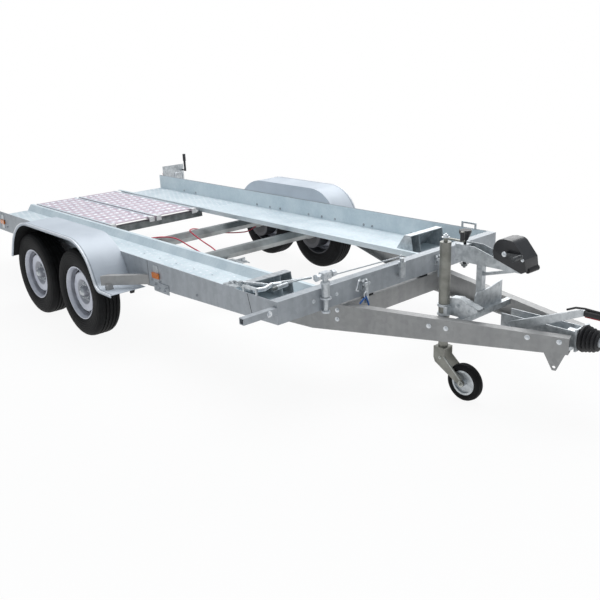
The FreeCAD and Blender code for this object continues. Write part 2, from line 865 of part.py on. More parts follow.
# Drawbar cross member: a channel between the two beams, under the front beam of the deck

member_front = cell("member_front", 1275)
member_back = cell("member_back", 1220)
member_bottom = cell("member_bottom", 326)


def tip_line(x):
    """Where the inner edge of a beam's flange is, at a distance along the trailer."""
    return beam_line(x) - drawbar_flange / beam_cosine


def between_beams(name, back, front, low, high):
    """A block whose ends follow the inner edges of the two drawbar beams."""
    corners = [
        (back, -tip_line(back)),
        (front, -tip_line(front)),
        (front, tip_line(front)),
        (back, tip_line(back)),
    ]
    return prism(name, "XY_Plane", corners, low, high)


member = between_beams("member_outside", member_back, member_front, member_bottom, drawbar_top)
member_hollow = block(
    "member_hollow", member_back - 10, -500, member_bottom + 5, 60, 1000,
    drawbar_top - member_bottom - 10,
)
finish(without("member", member, member_hollow), "drawbar_cross_member")
pad_left = block(
    "pad_left", member_front - 40, 210, drawbar_top, 35, 60,
    front_beam_bottom - drawbar_top - seat_gap,
)
finish(both_sides("pads", pad_left), "rest_pads")

# Winch stand: a cross bar between the beams, an upright plate and a post on it

stand_x = cell("stand_x", 1845)
bar = between_beams("stand_bar", stand_x, stand_x + 30, drawbar_top - 30, drawbar_top)
stand_plate_corners = [
    (-75, drawbar_top), (165, drawbar_top), (165, 550), (43, 531), (-60, 531), (-75, 516),
]
stand_plate = prism("stand_plate", "YZ_Plane", stand_plate_corners, stand_x, stand_x + 6)
finish(joined("stand", [bar, stand_plate]), "winch_stand")

# Winch arm: a tapered channel on a post, with a slanting brace under it

arm_rear = cell("arm_rear", 1690)
arm_front = cell("arm_front", 2085)
arm_low = cell("arm_low", 671)
arm_high = cell("arm_high", 761)
arm_half = cell("arm_half", 40)
arm_corners = [
    (arm_rear, arm_low),
    (arm_front, arm_low),
    (arm_front, arm_low + 8),
    (arm_rear + 120, arm_high),
    (arm_rear, arm_high),
]
arm_inside = [
    (arm_rear - 10, arm_low + 4),
    (arm_front + 10, arm_low + 4),
    (arm_front + 10, arm_high + 10),
    (arm_rear - 10, arm_high + 10),
]
winch_arm = prism("arm_channel", "XZ_Plane", arm_corners, -arm_half, arm_half)
hollow(winch_arm, "arm_channel", "XZ_Plane", arm_inside, 4 - arm_half, arm_half - 4)
post = block("post", stand_x - 34, -17, drawbar_top + 20, 34, 34, arm_low - drawbar_top - 20)
knob_x = cell("knob_x", 1722)
collar = block("collar", knob_x - 20, -arm_half, arm_high - 20, 40, 2 * arm_half, 14)
collar_bore = rod("collar_bore", knob_x, 0, 620, 8.05, 200, "Z")
brace_corners = [(1840, 607), (2022, 658), (2022, 673), (1840, 623)]
brace = prism("brace", "XZ_Plane", brace_corners, -10, 10)
arm = without("arm", joined("arm_solid", [winch_arm, post, brace, collar]), collar_bore)
finish(arm, "winch_arm")

# Winch cover: a rounded plastic housing on the front of the arm

cover_corners = [
    (1922, 724),
    (1928, 786),
    (1976, 831),
    (2030, 825),
    (2104, 748),
    (2122, 712),
    (2118, 690),
    (2090, 674),
]
cover = prism("cover_shell", "XZ_Plane", cover_corners, -58, 58)
arm_space = prism(
    "arm_space", "XZ_Plane",
    [
        (arm_rear, arm_low - 5),
        (arm_front + 15, arm_low - 5),
        (arm_front + 15, arm_low + 8 + seat_gap),
        (arm_front, arm_low + 8 + seat_gap),
        (arm_rear + 120, arm_high + seat_gap),
        (arm_rear, arm_high + seat_gap),
    ],
    -arm_half - seat_gap, arm_half + seat_gap,
)
crank_x = cell("crank_x", 2011)
crank_height = cell("crank_height", 767)
crank_bore = rod("crank_bore", crank_x, -100, crank_height, 8.05, 60, "Y")
finish(without("cover_cut", without("cover_body", cover, arm_space), crank_bore), "winch_cover")
crank_shaft = rod("crank_shaft", crank_x, -84, crank_height, 8, 43, "Y")
crank_lever = block("crank_lever", crank_x - 10, -84, crank_height - 10, 108, 8, 18)
crank_knob = rod("crank_knob", crank_x + 86, -144, crank_height - 1, 12, 64, "Y")
finish(joined("winch_crank_set", [crank_shaft, crank_lever, crank_knob]), "winch_crank")

# Arm knob: a black star knob on a threaded rod through the rear of the arm

knob = turned(
    "knob_body", [(0, 776), (14, 776), (32, 816), (32, 830), (0, 830)], knob_x, 0, 0, "Z"
)
knob_rod = rod("knob_rod", knob_x, 0, 640, 8, 138, "Z")
finish(joined("knob_set", [knob, knob_rod]), "arm_knob")

# Overrun unit: channel between the beams, housing, rubber bellows, coupling head

unit_half = cell("unit_half", 48)
unit_height = cell("unit_height", 411)
unit_rear = cell("unit_rear", 1989)
unit_front = cell("unit_front", 2392)
unit_bottom = cell("unit_bottom", 371)
unit_outside = block(
    "unit_outside", unit_rear, -unit_half, unit_bottom, unit_front - unit_rear, 2 * unit_half, 80
)
unit_inside = block(
    "unit_inside", unit_rear - 10, 5 - unit_half, unit_bottom + 5, unit_front - unit_rear + 20,
    2 * unit_half - 10, 90,
)
unit_channel = without("unit_channel", unit_outside, unit_inside)
bar_rear = between_beams("bar_rear", unit_rear + 4, unit_rear + 34, unit_bottom - 43, unit_bottom)
bar_front = between_beams("bar_front", unit_front - 54, unit_front - 24, unit_bottom - 22, unit_bottom)
lever_x = cell("lever_x", 2058)
lever_z = cell("lever_z", 401)
lever_pin = rod("lever_pin", lever_x, -84, lever_z, 10, 38, "Y")
finish(joined("unit_set", [unit_channel, bar_rear, bar_front, lever_pin]), "overrun_channel")
housing = rod("housing", unit_front - 60, 0, unit_height, 35, 110, "X")
housing_flange = block("housing_flange", unit_front, -60, unit_height - 55, 10, 120, 110)
coupling_shaft = rod("coupling_shaft", unit_front + 40, 0, unit_height, 25, 140, "X")
finish(joined("shaft_set", [housing, housing_flange, coupling_shaft]), "overrun_housing")
bellows_corners = [
    (35.3, 10), (62, 10), (66, 24), (52, 30), (62, 40), (48, 48), (58, 58), (44, 66),
    (54, 76), (40, 84), (46, 92), (34, 96), (25.3, 96), (25.3, 60), (35.3, 52),
]
bellows = turned("bellows_body", bellows_corners, unit_front, 0, unit_height, "X")
finish(bellows, "rubber_bellows")
head_length = cell("head_length", 348)
head_body = block("head_body", unit_front + 160, -34, unit_height - 30, 120, 68, 62)
head_bore = rod("head_bore", unit_front + 150, 0, unit_height, 25.05, 60, "X")
head_nose = rod("head_nose", unit_front + head_length - 48, 0, unit_height - 40, 48, 70, "Z")
head_bridge = block(
    "head_bridge", unit_front + 270, -30, unit_height - 20, head_length - 318, 60, 50
)
head_socket = rod("head_socket", unit_front + head_length - 48, 0, unit_height - 50, 25.5, 60, "Z")
head = without(
    "head",
    joined("head_solid", [head_body, head_bridge, head_nose]),
    together("head_cuts", [head_bore, head_socket]),
)
finish(head, "coupling_head")

# Brake lever: galvanised bar with a rubber grip, hinged beside the overrun channel

lever_tip_x = cell("lever_tip_x", 2418)
lever_tip_z = cell("lever_tip_z", 559)
lever_corners = [
    (lever_x - 22, lever_z - 16),
    (lever_x + 22, lever_z - 16),
    (lever_tip_x + 15, lever_tip_z - 13),
    (lever_tip_x + 15, lever_tip_z + 12),
    (lever_tip_x - 5, lever_tip_z + 12),
    (lever_x - 10, lever_z + 24),
]
lever_bar = prism("lever_bar", "XZ_Plane", lever_corners, -76, -54)
lever_bore = rod("lever_bore", lever_x, -90, lever_z, 10.05, 60, "Y")
lever_tip = rod("lever_tip", lever_tip_x, -65, lever_tip_z, 8, 95, "X")
finish(without("lever_cut", joined("lever_set", [lever_bar, lever_tip]), lever_bore), "brake_lever")
lever_grip = without(
    "lever_grip",
    rod("grip_outside", lever_tip_x + 16, -65, lever_tip_z, 15, 85, "X"),
    rod("grip_bore", lever_tip_x + 10, -65, lever_tip_z, 8.05, 86, "X"),
)
finish(lever_grip, "brake_lever_grip")

# Hanging plate: a triangular plate with a hole under the front end of the right beam

nose_rise = size_of(beam_bottom[3][1] - beam_bottom[2][1]) / (-beam_bottom[2][0])
hanging_back = size_of(-110)
hanging_front = size_of(-13)
hanging_corners = [
    (hanging_back, beam_bottom[3][1] + hanging_back * nose_rise),
    (hanging_back + 42, 265),
    (hanging_front - 36, 265),
    (hanging_front, beam_bottom[3][1] + hanging_front * nose_rise),
]
hanging = prism("hanging", "XZ_Plane", hanging_corners, -plate, 0)
hanging_bore = rod("hanging_bore", -60, -20, 281, 8, 40, "Y")
hanging_plate = without("hanging_plate", hanging, hanging_bore)
hanging_plate.Placement = channel.Placement
place(hanging_plate, drawbar_nose, drawbar_nose_half, 0)
tie(hanging_plate, ".Placement.Rotation.Angle", -beam_angle)
finish(mirror("hanging_right", hanging_plate), "safety_plate")

# Jockey wheel: clamp, outer tube, sliding inner tube, swivelling fork and wheel

outer_bottom = cell("outer_bottom", 421)
outer_top = cell("outer_top", 816)
outer_tube = without(
    "outer_tube",
    rod("outer_skin", jockey_reach, jockey_side, outer_bottom, jockey_tube_radius,
        outer_top - outer_bottom),
    rod("outer_space", jockey_reach, jockey_side, outer_bottom - 1, jockey_tube_radius - 3.5,
        outer_top - outer_bottom - 3),
)
crank_hole = rod("crank_hole", jockey_reach, jockey_side, outer_top - 10, 10.05, 20)
finish(without("outer_tube_drilled", outer_tube, crank_hole), "jockey_outer_tube")
bracket_corners = [(1790, 434), (1790, 526), (1840, 531), (1955, 496), (1955, 481), (1880, 434)]
clamp_bracket = prism(
    "clamp_bracket", "XZ_Plane", bracket_corners, jockey_side - 85, jockey_side - 20
)
clamp_block = block("clamp_block", jockey_reach - 36, jockey_side - 37, drawbar_top, 72, 74, 60)
clamp_ring = without(
    "clamp_ring",
    joined("clamp_solid", [clamp_block, clamp_bracket]),
    rod("clamp_space", jockey_reach, jockey_side, drawbar_top - 8, jockey_tube_radius, 90),
)
finish(clamp_ring, "jockey_clamp")
fork_plate_top = cell("fork_plate_top", 262)
inner_solid = rod(
    "inner_solid", jockey_reach, jockey_side, fork_plate_top + seat_gap,
    jockey_tube_radius - 3.55, 440,
)
inner_space = rod("inner_space", jockey_reach, jockey_side, 322, 14, 400)
swivel_stud = rod("swivel_stud", jockey_reach, jockey_side, fork_plate_top - 14, 10, 20)
inner_tube = joined(
    "inner_set", [without("inner_tube", inner_solid, inner_space), swivel_stud]
)
finish(inner_tube, "jockey_inner_tube")
screw_shaft = rod("screw_shaft", jockey_reach, jockey_side, outer_top - 60, 10, 80)
screw_arm = block("screw_arm", jockey_reach - 10, jockey_side - 8, outer_top + 14, 120, 16, 8)
screw_knob = rod("screw_knob", jockey_reach + 98, jockey_side, outer_top + 14, 9, 50)
finish(joined("screw_set", [screw_shaft, screw_arm, screw_knob]), "jockey_crank")
wheel_x = jockey_reach + jockey_trail
fork_corners = [
    (jockey_reach - 34, fork_plate_top),
    (jockey_reach - 34, fork_plate_top - 62),
    (jockey_reach - 24, fork_plate_top - 86),
    (wheel_x - 14, 86),
    (wheel_x + 10, 86),
    (wheel_x + 16, 108),
    (jockey_reach + 34, fork_plate_top - 46),
    (jockey_reach + 34, fork_plate_top),
]
fork_side = prism("fork_side", "XZ_Plane", fork_corners, jockey_side + 30, jockey_side + 35)
fork_other = prism("fork_other", "XZ_Plane", fork_corners, jockey_side - 35, jockey_side - 30)
fork_top = without(
    "fork_top_drilled",
    block("fork_top", jockey_reach - 34, jockey_side - 35, fork_plate_top - 8, 68, 70, 8),
    rod("fork_bore", jockey_reach, jockey_side, fork_plate_top - 20, 10.05, 40),
)
fork_axle = rod("fork_axle", wheel_x, jockey_side - 40, jockey_wheel_radius, 8, 80, "Y")
finish(joined("fork_set", [fork_side, fork_other, fork_top, fork_axle]), "jockey_fork")
jockey_tyre_section = [
    (66, -20), (86, -24), (97, -16), (100, 0), (97, 16), (86, 24), (66, 20),
]
jockey_hub_section = [
    (8.05, -26), (16, -26), (16, -8), (56, -8), (56, -20), (66, -20), (66, 20), (56, 20),
    (56, 0), (16, 0), (16, 26), (8.05, 26),
]
jockey_tyre = turned(
    "jockey_tyre_ring", jockey_tyre_section, wheel_x, jockey_side, jockey_wheel_radius
)
jockey_hub = turned(
    "jockey_hub_ring", jockey_hub_section, wheel_x, jockey_side, jockey_wheel_radius
)
finish(jockey_tyre, "jockey_tyre")
finish(jockey_hub, "jockey_rim")

# Deck lock: a T-headed screw in a sleeve on the front beam, and a bolt pin at the middle

lock_x = cell("lock_x", 1322)
lock_y = cell("lock_y", -628)
lock_sleeve = without(
    "lock_sleeve",
    joined(
        "lock_sleeve_solid",
        [
            rod("lock_tube", lock_x, lock_y, 538, 22, 81),
            block("lock_web", deck_front, lock_y - 12, 541, 12, 24, 36),
        ],
    ),
    rod("lock_bore", lock_x, lock_y, 530, 14.05, 100),
)
lock_shaft = rod("lock_shaft", lock_x, lock_y, 452, 14, 190)
lock_head = rod("lock_head", lock_x, lock_y - 67, 650, 14, 134, "Y")
finish(joined("lock_set", [lock_shaft, lock_head]), "deck_lock_screw")
middle_pin = joined(
    "middle_pin",
    [
        rod("pin_collar", lock_x, -27, 503, 20, 90),
        rod("pin_cap", lock_x, -27, 590, 13, 24),
        block("pin_web", deck_front, -39, 520, 12, 24, 44),
    ],
)

# Lock rods: thin rods over the front beam and the right side beam that work the deck lock

rod_bracket = block("rod_bracket", 1256, -578, deck_top + seat_gap, 12, 16, 48)
rod_eye = block("rod_eye", 1231, 52, deck_top + seat_gap, 12, 16, 20)
long_rod = strut("long_rod", (1262, -570, 616), (1237, 60, 588), 4)
finish(joined("front_lock_rods", [rod_bracket, rod_eye, long_rod]), "lock_linkage")
rod_plate = block(
    "rod_plate", 850, sheet_metal - half_width, deck_top + seat_gap, 110, 71, 6
)
rod_nut = rod("rod_nut", 944, -882, deck_top, 12, 26)
thick_rod = strut("thick_rod", (930, -876, 592), (1100, -800, 592), 9)
rod_sleeve = strut("rod_sleeve", (1095, -802, 592), (1130, -760, 593), 14)
thin_rod = strut("thin_rod", (1128, -762, 593), (1190, -650, 612), 5)
finish(
    joined("side_lock_rods", [rod_plate, rod_nut, thick_rod, rod_sleeve, thin_rod]),
    "side_lock_rod",
)

# Latches: over-centre levers on the front beam, one a side

latch_y = cell("latch_y", 320)
latch_height = cell("latch_height", 531)
latch_base = block("latch_base", deck_front, latch_y - 20, latch_height - 35, 10, 40, 60)
latch_pin = rod("latch_pin", deck_front + 22, latch_y - 30, latch_height, 5, 60, "Y")
latch_ear = block("latch_ear", deck_front, latch_y - 20, latch_height - 10, 30, 6, 20)
latch_ear_two = block("latch_ear_two", deck_front, latch_y + 14, latch_height - 10, 30, 6, 20)
left_latch_base = joined("left_latch_base", [latch_base, latch_ear, latch_ear_two, latch_pin])
latch_pair = both_sides("latch_bases", left_latch_base)
finish(
    together("front_fittings", [lock_sleeve, middle_pin, latch_pair]), "front_beam_fittings"
)
latch_lever = without(
    "latch_lever",
    joined(
        "latch_lever_solid",
        [
            block("latch_handle", deck_front + 16, latch_y - 12, latch_height - 105, 12, 24, 112),
            rod("latch_eye", deck_front + 22, latch_y - 12, latch_height, 9, 24, "Y"),
        ],
    ),
    rod("latch_eye_bore", deck_front + 22, latch_y - 20, latch_height, 5.05, 40, "Y"),
)
finish(latch_lever, "left_latch_lever")
finish(mirror("latch_lever_right", latch_lever), "right_latch_lever")

# Side bar: a square tube that sticks out at the right end of the front beam

bar_outside = block("bar_outside", 1262, -half_width - 210, 514, 34, 210, 34)
bar_inside = block("bar_inside", 1266, -half_width - 220, 518, 26, 200, 26)
finish(without("bar_tube", bar_outside, bar_inside), "side_bar")

# Lashing loops on the upper edges of the side beams

loop_outside = block("loop_outside", 1030, half_width - 6, deck_top, 115, 10, 38)
loop_inside = block("loop_inside", 1041, half_width - 20, deck_top - 1, 93, 30, 28)
finish(both_sides("loops", without("loop", loop_outside, loop_inside)), "lashing_loops")

# Writing the finished sub-parts

doc.recompute()
for thing in doc.Objects:
    if "Invalid" in thing.State or "Error" in thing.State:
        raise RuntimeError(f"{thing.Name} did not compute: {thing.State}")
for thing in finished:
    shape = thing.Shape
    if shape.isNull() or not shape.isValid():
        raise RuntimeError(f"{thing.Label} is not a valid solid")
    box = shape.BoundBox
    print(
        f"{thing.Label:24s} solids {len(shape.Solids)} volume {shape.Volume / 1000:10.1f} cm3"
        f" x {box.XMin:8.1f} {box.XMax:8.1f} y {box.YMin:8.1f} {box.YMax:8.1f}"
        f" z {box.ZMin:6.1f} {box.ZMax:6.1f}"
    )
    shape.exportStep(os.path.join("parts", thing.Label + ".step"))
print("sub-parts:", len(finished))
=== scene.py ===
import math

import bmesh
import bpy
from mathutils import Matrix, Vector


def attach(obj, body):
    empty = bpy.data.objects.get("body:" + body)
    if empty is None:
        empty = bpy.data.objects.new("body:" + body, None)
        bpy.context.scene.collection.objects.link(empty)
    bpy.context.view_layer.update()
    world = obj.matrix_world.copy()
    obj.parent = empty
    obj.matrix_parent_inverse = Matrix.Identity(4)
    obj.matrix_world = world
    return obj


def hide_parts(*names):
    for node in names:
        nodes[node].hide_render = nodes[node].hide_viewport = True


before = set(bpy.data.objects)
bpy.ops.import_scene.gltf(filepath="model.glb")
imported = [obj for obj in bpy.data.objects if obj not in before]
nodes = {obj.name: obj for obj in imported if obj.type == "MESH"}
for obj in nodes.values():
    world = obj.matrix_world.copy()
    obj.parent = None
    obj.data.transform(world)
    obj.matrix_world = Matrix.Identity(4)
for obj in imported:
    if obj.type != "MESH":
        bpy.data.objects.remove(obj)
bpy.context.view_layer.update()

# Galvanised steel: the frame is folded and welded from sheet and then dipped in molten zinc, which
# leaves a pale spangle, darker blotches and a faint roughness. Every steel surface of the trailer
# is a variation of it, from the pale floors to the grey beams. The grey of the beams, the drawbar
# and the fender brackets is painted shade, and so is the darker grey of the cross beams.


def weathered(
    name, pale, dark, patch, rough, metal, grain=160.0, relief=0.08, drawn=(1, 1, 1)
):
    """A metal or plastic whose colour wanders between two tones, with a fine relief."""
    material = bpy.data.materials.new(name)
    material.use_nodes = True
    tree = material.node_tree
    shader = tree.nodes["Principled BSDF"]
    shader.inputs["Metallic"].default_value = metal
    spot = tree.nodes.new("ShaderNodeTexCoord").outputs["Object"]
    spread = tree.nodes.new("ShaderNodeMapping")
    spread.inputs["Scale"].default_value = drawn
    blotch = tree.nodes.new("ShaderNodeTexNoise")
    blotch.inputs["Scale"].default_value = patch
    blotch.inputs["Detail"].default_value = 5.0
    tones = tree.nodes.new("ShaderNodeValToRGB")
    tones.color_ramp.elements[0].position = 0.32
    tones.color_ramp.elements[0].color = (*dark, 1.0)
    tones.color_ramp.elements[1].position = 0.62
    tones.color_ramp.elements[1].color = (*pale, 1.0)
    gloss = tree.nodes.new("ShaderNodeMapRange")
    gloss.inputs["To Min"].default_value = rough - 0.08
    gloss.inputs["To Max"].default_value = rough + 0.10
    fine = tree.nodes.new("ShaderNodeTexNoise")
    fine.inputs["Scale"].default_value = grain
    bump = tree.nodes.new("ShaderNodeBump")
    bump.inputs["Strength"].default_value = relief
    bump.inputs["Distance"].default_value = 0.001
    tree.links.new(spot, spread.inputs["Vector"])
    tree.links.new(spread.outputs["Vector"], blotch.inputs["Vector"])
    tree.links.new(spot, fine.inputs["Vector"])
    tree.links.new(blotch.outputs["Fac"], tones.inputs["Fac"])
    tree.links.new(blotch.outputs["Fac"], gloss.inputs["Value"])
    tree.links.new(gloss.outputs["Result"], shader.inputs["Roughness"])
    tree.links.new(tones.outputs["Color"], shader.inputs["Base Color"])
    tree.links.new(fine.outputs["Fac"], bump.inputs["Height"])
    tree.links.new(bump.outputs["Normal"], shader.inputs["Normal"])
    return material


def mixed(tree, way, share, first, second):
    """Two colours mixed in one way and by one share, as a socket."""
    mix = tree.nodes.new("ShaderNodeMix")
    mix.data_type = "RGBA"
    mix.blend_type = way
    share_socket, first_colour, second_colour = mix.inputs[0], mix.inputs[6], mix.inputs[7]
    share_socket.default_value = share
    tree.links.new(first, first_colour)
    tree.links.new(second, second_colour)
    return mix.outputs[2]


def spangled(material, size, strength):
    """Adds the crystals of hot-dip zinc to a weathered material."""
    tree = material.node_tree
    shader = tree.nodes["Principled BSDF"]
    tones = shader.inputs["Base Color"].links[0].from_socket
    spot = tree.nodes.new("ShaderNodeTexCoord").outputs["Object"]
    crystals = tree.nodes.new("ShaderNodeTexVoronoi")
    crystals.inputs["Scale"].default_value = size
    grey = tree.nodes.new("ShaderNodeRGBToBW")
    tree.links.new(spot, crystals.inputs["Vector"])
    tree.links.new(crystals.outputs["Color"], grey.inputs["Color"])
    shaded = mixed(tree, "SOFT_LIGHT", strength, tones, grey.outputs["Val"])
    tree.links.new(shaded, shader.inputs["Base Color"])
    return material


def finish_node(material, *names):
    """Gives a material to carried-over nodes."""
    for name in names:
        mesh = nodes[name].data
        mesh.materials.clear()
        mesh.materials.append(material)


floor_zinc = spangled(
    weathered(
        "floor_zinc", pale=(0.66, 0.74, 0.78), dark=(0.56, 0.65, 0.70),
        patch=6.0, rough=0.5, metal=0.15,
    ),
    size=60.0, strength=0.12,
)
# Painted shade: the beams are coloured darker than the floors for the shade on their side faces.
beam_zinc_painted_shade = spangled(
    weathered(
        "beam_zinc_painted_shade", pale=(0.43, 0.46, 0.49), dark=(0.35, 0.375, 0.40),
        patch=14.0, rough=0.45, metal=0.2, drawn=(1, 1, 0.15),
    ),
    size=45.0, strength=0.14,
)
# Painted shade: the drawbar parts and the fender brackets are coloured darker for the shade on
# their sides.
drawbar_zinc_painted_shade = spangled(
    weathered(
        "drawbar_zinc_painted_shade", pale=(0.38, 0.38, 0.375), dark=(0.32, 0.32, 0.32),
        patch=16.0, rough=0.45, metal=0.2, drawn=(1, 1, 0.08),
    ),
    size=45.0, strength=0.12,
)
fitting_zinc = weathered(
    "fitting_zinc", pale=(0.62, 0.65, 0.67), dark=(0.42, 0.45, 0.47),
    patch=40.0, rough=0.38, metal=0.6,
)
# Dark zinc for small dark fittings, also used as painted shade on the cross beams.
dark_zinc_and_painted_shade = weathered(
    "dark_zinc_and_painted_shade", pale=(0.24, 0.26, 0.26), dark=(0.13, 0.145, 0.15),
    patch=18.0, rough=0.42, metal=0.4,
)
finish_node(floor_zinc, "left_runway", "right_runway")
finish_node(beam_zinc_painted_shade, "side_beams", "front_beam", "pivot_brackets", "side_bar")
finish_node(
    drawbar_zinc_painted_shade, "left_drawbar_beam", "right_drawbar_beam", "drawbar_cross_member",
    "safety_plate", "fender_brackets",
)
# Painted shade: the cross beams take the dark zinc for the shade below the ramps' front end.
finish_node(dark_zinc_and_painted_shade, "cross_beams")
finish_node(
    fitting_zinc, "winch_arm", "winch_stand", "marker_plates", "wheel_stops",
    "rear_corner_plates", "front_beam_fittings", "lashing_loops", "lock_linkage",
    "side_lock_rod", "brake_linkage", "overrun_channel", "overrun_housing", "coupling_head",
    "jockey_clamp", "deck_lock_screw", "left_latch_lever", "right_latch_lever", "brake_lever",
)

# Anti-slip floor: rows of small ovals are pressed up out of the sheet across both runways. At the
# rear they are coloured brighter than the sheet.

hands = ((1, "left"), (-1, "right"))


def mounted(name, body, material, data):
    """A new object for a mesh or a curve, riding on a body."""
    data.materials.append(material)
    thing = bpy.data.objects.new(name, data)
    bpy.context.scene.collection.objects.link(thing)
    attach(thing, body)
    return thing


def piece(name, body, material, build, smooth=False):
    """A mounted object whose mesh is made by build."""
    shape = bmesh.new()
    build(shape)
    bmesh.ops.recalc_face_normals(shape, faces=shape.faces)
    mesh = bpy.data.meshes.new(name)
    shape.to_mesh(mesh)
    shape.free()
    if smooth:
        mesh.polygons.foreach_set("use_smooth", [True] * len(mesh.polygons))
        mesh.set_sharp_from_angle(angle=math.radians(32))
    return mounted(name, body, material, mesh)


def dimple(shape, place, size):
    """A low oval dome on a floor: a steep rim, and a flatter crown that ends in a point."""
    oval = Matrix.Translation(place) @ Matrix.Diagonal((*size, 1.0))
    crown, crown_width = 0.8, 0.62
    for low, high, wide, narrow in (
        (0.0, crown, 1.0, crown_width), (crown, 1.0, crown_width, 0.0),
    ):
        bmesh.ops.create_cone(
            shape, cap_ends=False, segments=8, radius1=wide, radius2=narrow, depth=high - low,
            matrix=oval @ Matrix.Translation((0.0, 0.0, (low + high) / 2)),
        )


def close_seams(shape):
    """Joins the points where the parts of a shape meet."""
    bmesh.ops.remove_doubles(shape, verts=shape.verts, dist=0.00001)


dimple_zinc = weathered(
    "dimple_zinc", pale=(0.84, 0.86, 0.90), dark=(0.70, 0.73, 0.78),
    patch=30.0, rough=0.42, metal=0.2,
)
front_dimple_zinc = weathered(
    "front_dimple_zinc", pale=(0.70, 0.72, 0.78), dark=(0.64, 0.70, 0.75),
    patch=30.0, rough=0.45, metal=0.15,
)
runway_face = 0.444
runway_oval = (0.008, 0.013, 0.0020)


def runway_dimples(side, first, count):
    """Columns of eight ovals on one runway, counted from the rear; every third one lines up."""

    def build(shape):
        for column in range(first, first + count):
            for row in range(8):
                x = -2.70 + 0.06 * column
                y = 0.520 + 0.050 * row + 0.016 * (column % 3)
                dimple(shape, (x, side * y, runway_face), runway_oval)
        close_seams(shape)

    return build


for side, hand in hands:
    piece(f"{hand}_rear_dimples", "deck", dimple_zinc, runway_dimples(side, 0, 22))
    piece(f"{hand}_front_dimples", "deck", front_dimple_zinc, runway_dimples(side, 22, 36))

# Loading ramps: two trays lie side by side at the rear, pressed from a sheet whose zinc looks
# slightly rosy. They have bigger and higher ovals, rolled edges, and hooks at the front end.

ramp_zinc = weathered(
    "ramp_zinc", pale=(0.66, 0.57, 0.63), dark=(0.52, 0.43, 0.51),
    patch=14.0, rough=0.5, metal=0.2,
)
finish_node(ramp_zinc, "loading_ramps")
hook_zinc = weathered(
    "hook_zinc", pale=(0.86, 0.86, 0.86), dark=(0.70, 0.70, 0.71),
    patch=60.0, rough=0.45, metal=0.2,
)
ramp_face = 0.488
ramp_oval = (0.019, 0.024, 0.005)
rim_base = ramp_face + 0.0002


def ramp_dimples(shape):
    """Thirteen columns of six ovals on each tray, every second one shifted by half a step."""
    for side in (1, -1):
        for column in range(13):
            for row in range(6):
                x = -2.67 + 0.103 * column
                y = 0.046 + 0.058 * row + 0.029 * (column % 2)
                dimple(shape, (x, side * y, ramp_face), ramp_oval)
    close_seams(shape)


def box(shape, low, high):
    """A plain box between two corners, for building bigger pieces."""
    middle = (Vector(low) + Vector(high)) / 2
    size = Vector(high) - Vector(low)
    placed = Matrix.Translation(middle) @ Matrix.Diagonal((*size, 1.0))
    bmesh.ops.create_cube(shape, size=1.0, matrix=placed)


def soften(shape, width, edges=None, segments=2, profile=0.0):
    """Bevels the edges of a shape, or only some of them. A profile of 0.5 makes them round."""
    bmesh.ops.bevel(
        shape, geom=edges or shape.edges[:], offset=width, segments=segments, profile=profile,
        affect="EDGES",
    )


def ramp_hooks(shape):
    """A flat cap on the tray and a tongue that hangs down in front of it, two hooks a tray."""
    top = ramp_face + 0.0042
    wide = 0.046
    for side in (1, -1):
        for middle in (0.034, 0.385):
            near = side * middle - wide / 2
            far = near + wide
            box(shape, (-1.388, near, rim_base), (-1.338, far, top))
            box(shape, (-1.3415, near, 0.452), (-1.3375, far, top))
    soften(shape, 0.0012)


def ramp_edges(shape):
    """The rolled edges along both sides of each tray."""
    for side in (1, -1):
        for edge in (0.0145, 0.388):
            near, far = sorted((side * edge, side * (edge + 0.0165)))
            box(shape, (-2.739, near, rim_base), (-1.373, far, ramp_face + 0.0025))


piece("ramp_edge_strips", "deck", floor_zinc, ramp_edges)
piece("ramp_dimples", "deck", dimple_zinc, ramp_dimples)
piece("ramp_hook_caps", "deck", hook_zinc, ramp_hooks)

# Bolts: zinc-plated steel with hexagon heads and washers. They hold the runways to the side beams,
# the fittings to the drawbar and the brackets to the front beam.

beam_turn = math.radians(17.5)
bolt_zinc = weathered(
    "bolt_zinc", pale=(0.50, 0.53, 0.56), dark=(0.22, 0.24, 0.26),
    patch=90.0, rough=0.4, metal=0.6,
)
bright_zinc = weathered(
    "bright_zinc", pale=(0.86, 0.88, 0.90), dark=(0.62, 0.66, 0.70),
    patch=90.0, rough=0.3, metal=0.5,
)


def collar(shape, place, axis, sides, wide, narrow, depth):
    """A short round or many-sided stub, centred on a place and pointing along an axis."""
    turn = Vector(axis).to_track_quat("Z", "Y").to_matrix().to_4x4()
    bmesh.ops.create_cone(
        shape, cap_ends=True, segments=sides, radius1=wide, radius2=narrow, depth=depth,
        matrix=Matrix.Translation(place) @ turn,
    )


def bolt(shape, place, axis, radius):
    """A washer, a hexagon head and the end of the thread."""
    for sides, wide, low, high in (
        (16, radius * 1.5, 0.0, 0.0022),
        (6, radius, 0.0022, radius * 0.9),
        (10, radius * 0.45, radius * 0.9, radius * 1.4),
    ):
        middle = Vector(place) + Vector(axis) * (low + high) / 2
        collar(shape, middle, axis, sides, wide, wide * 0.94, high - low)


def runway_bolts(shape):
    """Pairs of heads inside and outside each side beam."""
    height = 0.463
    for side in (1, -1):
        for x in (-1.152, -0.975, -0.839, -0.482, -0.326, -0.175, 0.135, 0.221, -2.3, -2.1, 0.6):
            bolt(shape, (x, side * 0.927, height), (0, -side, 0), 0.0065)
            bolt(shape, (x, side * 0.935, height), (0, side, 0), 0.0065)


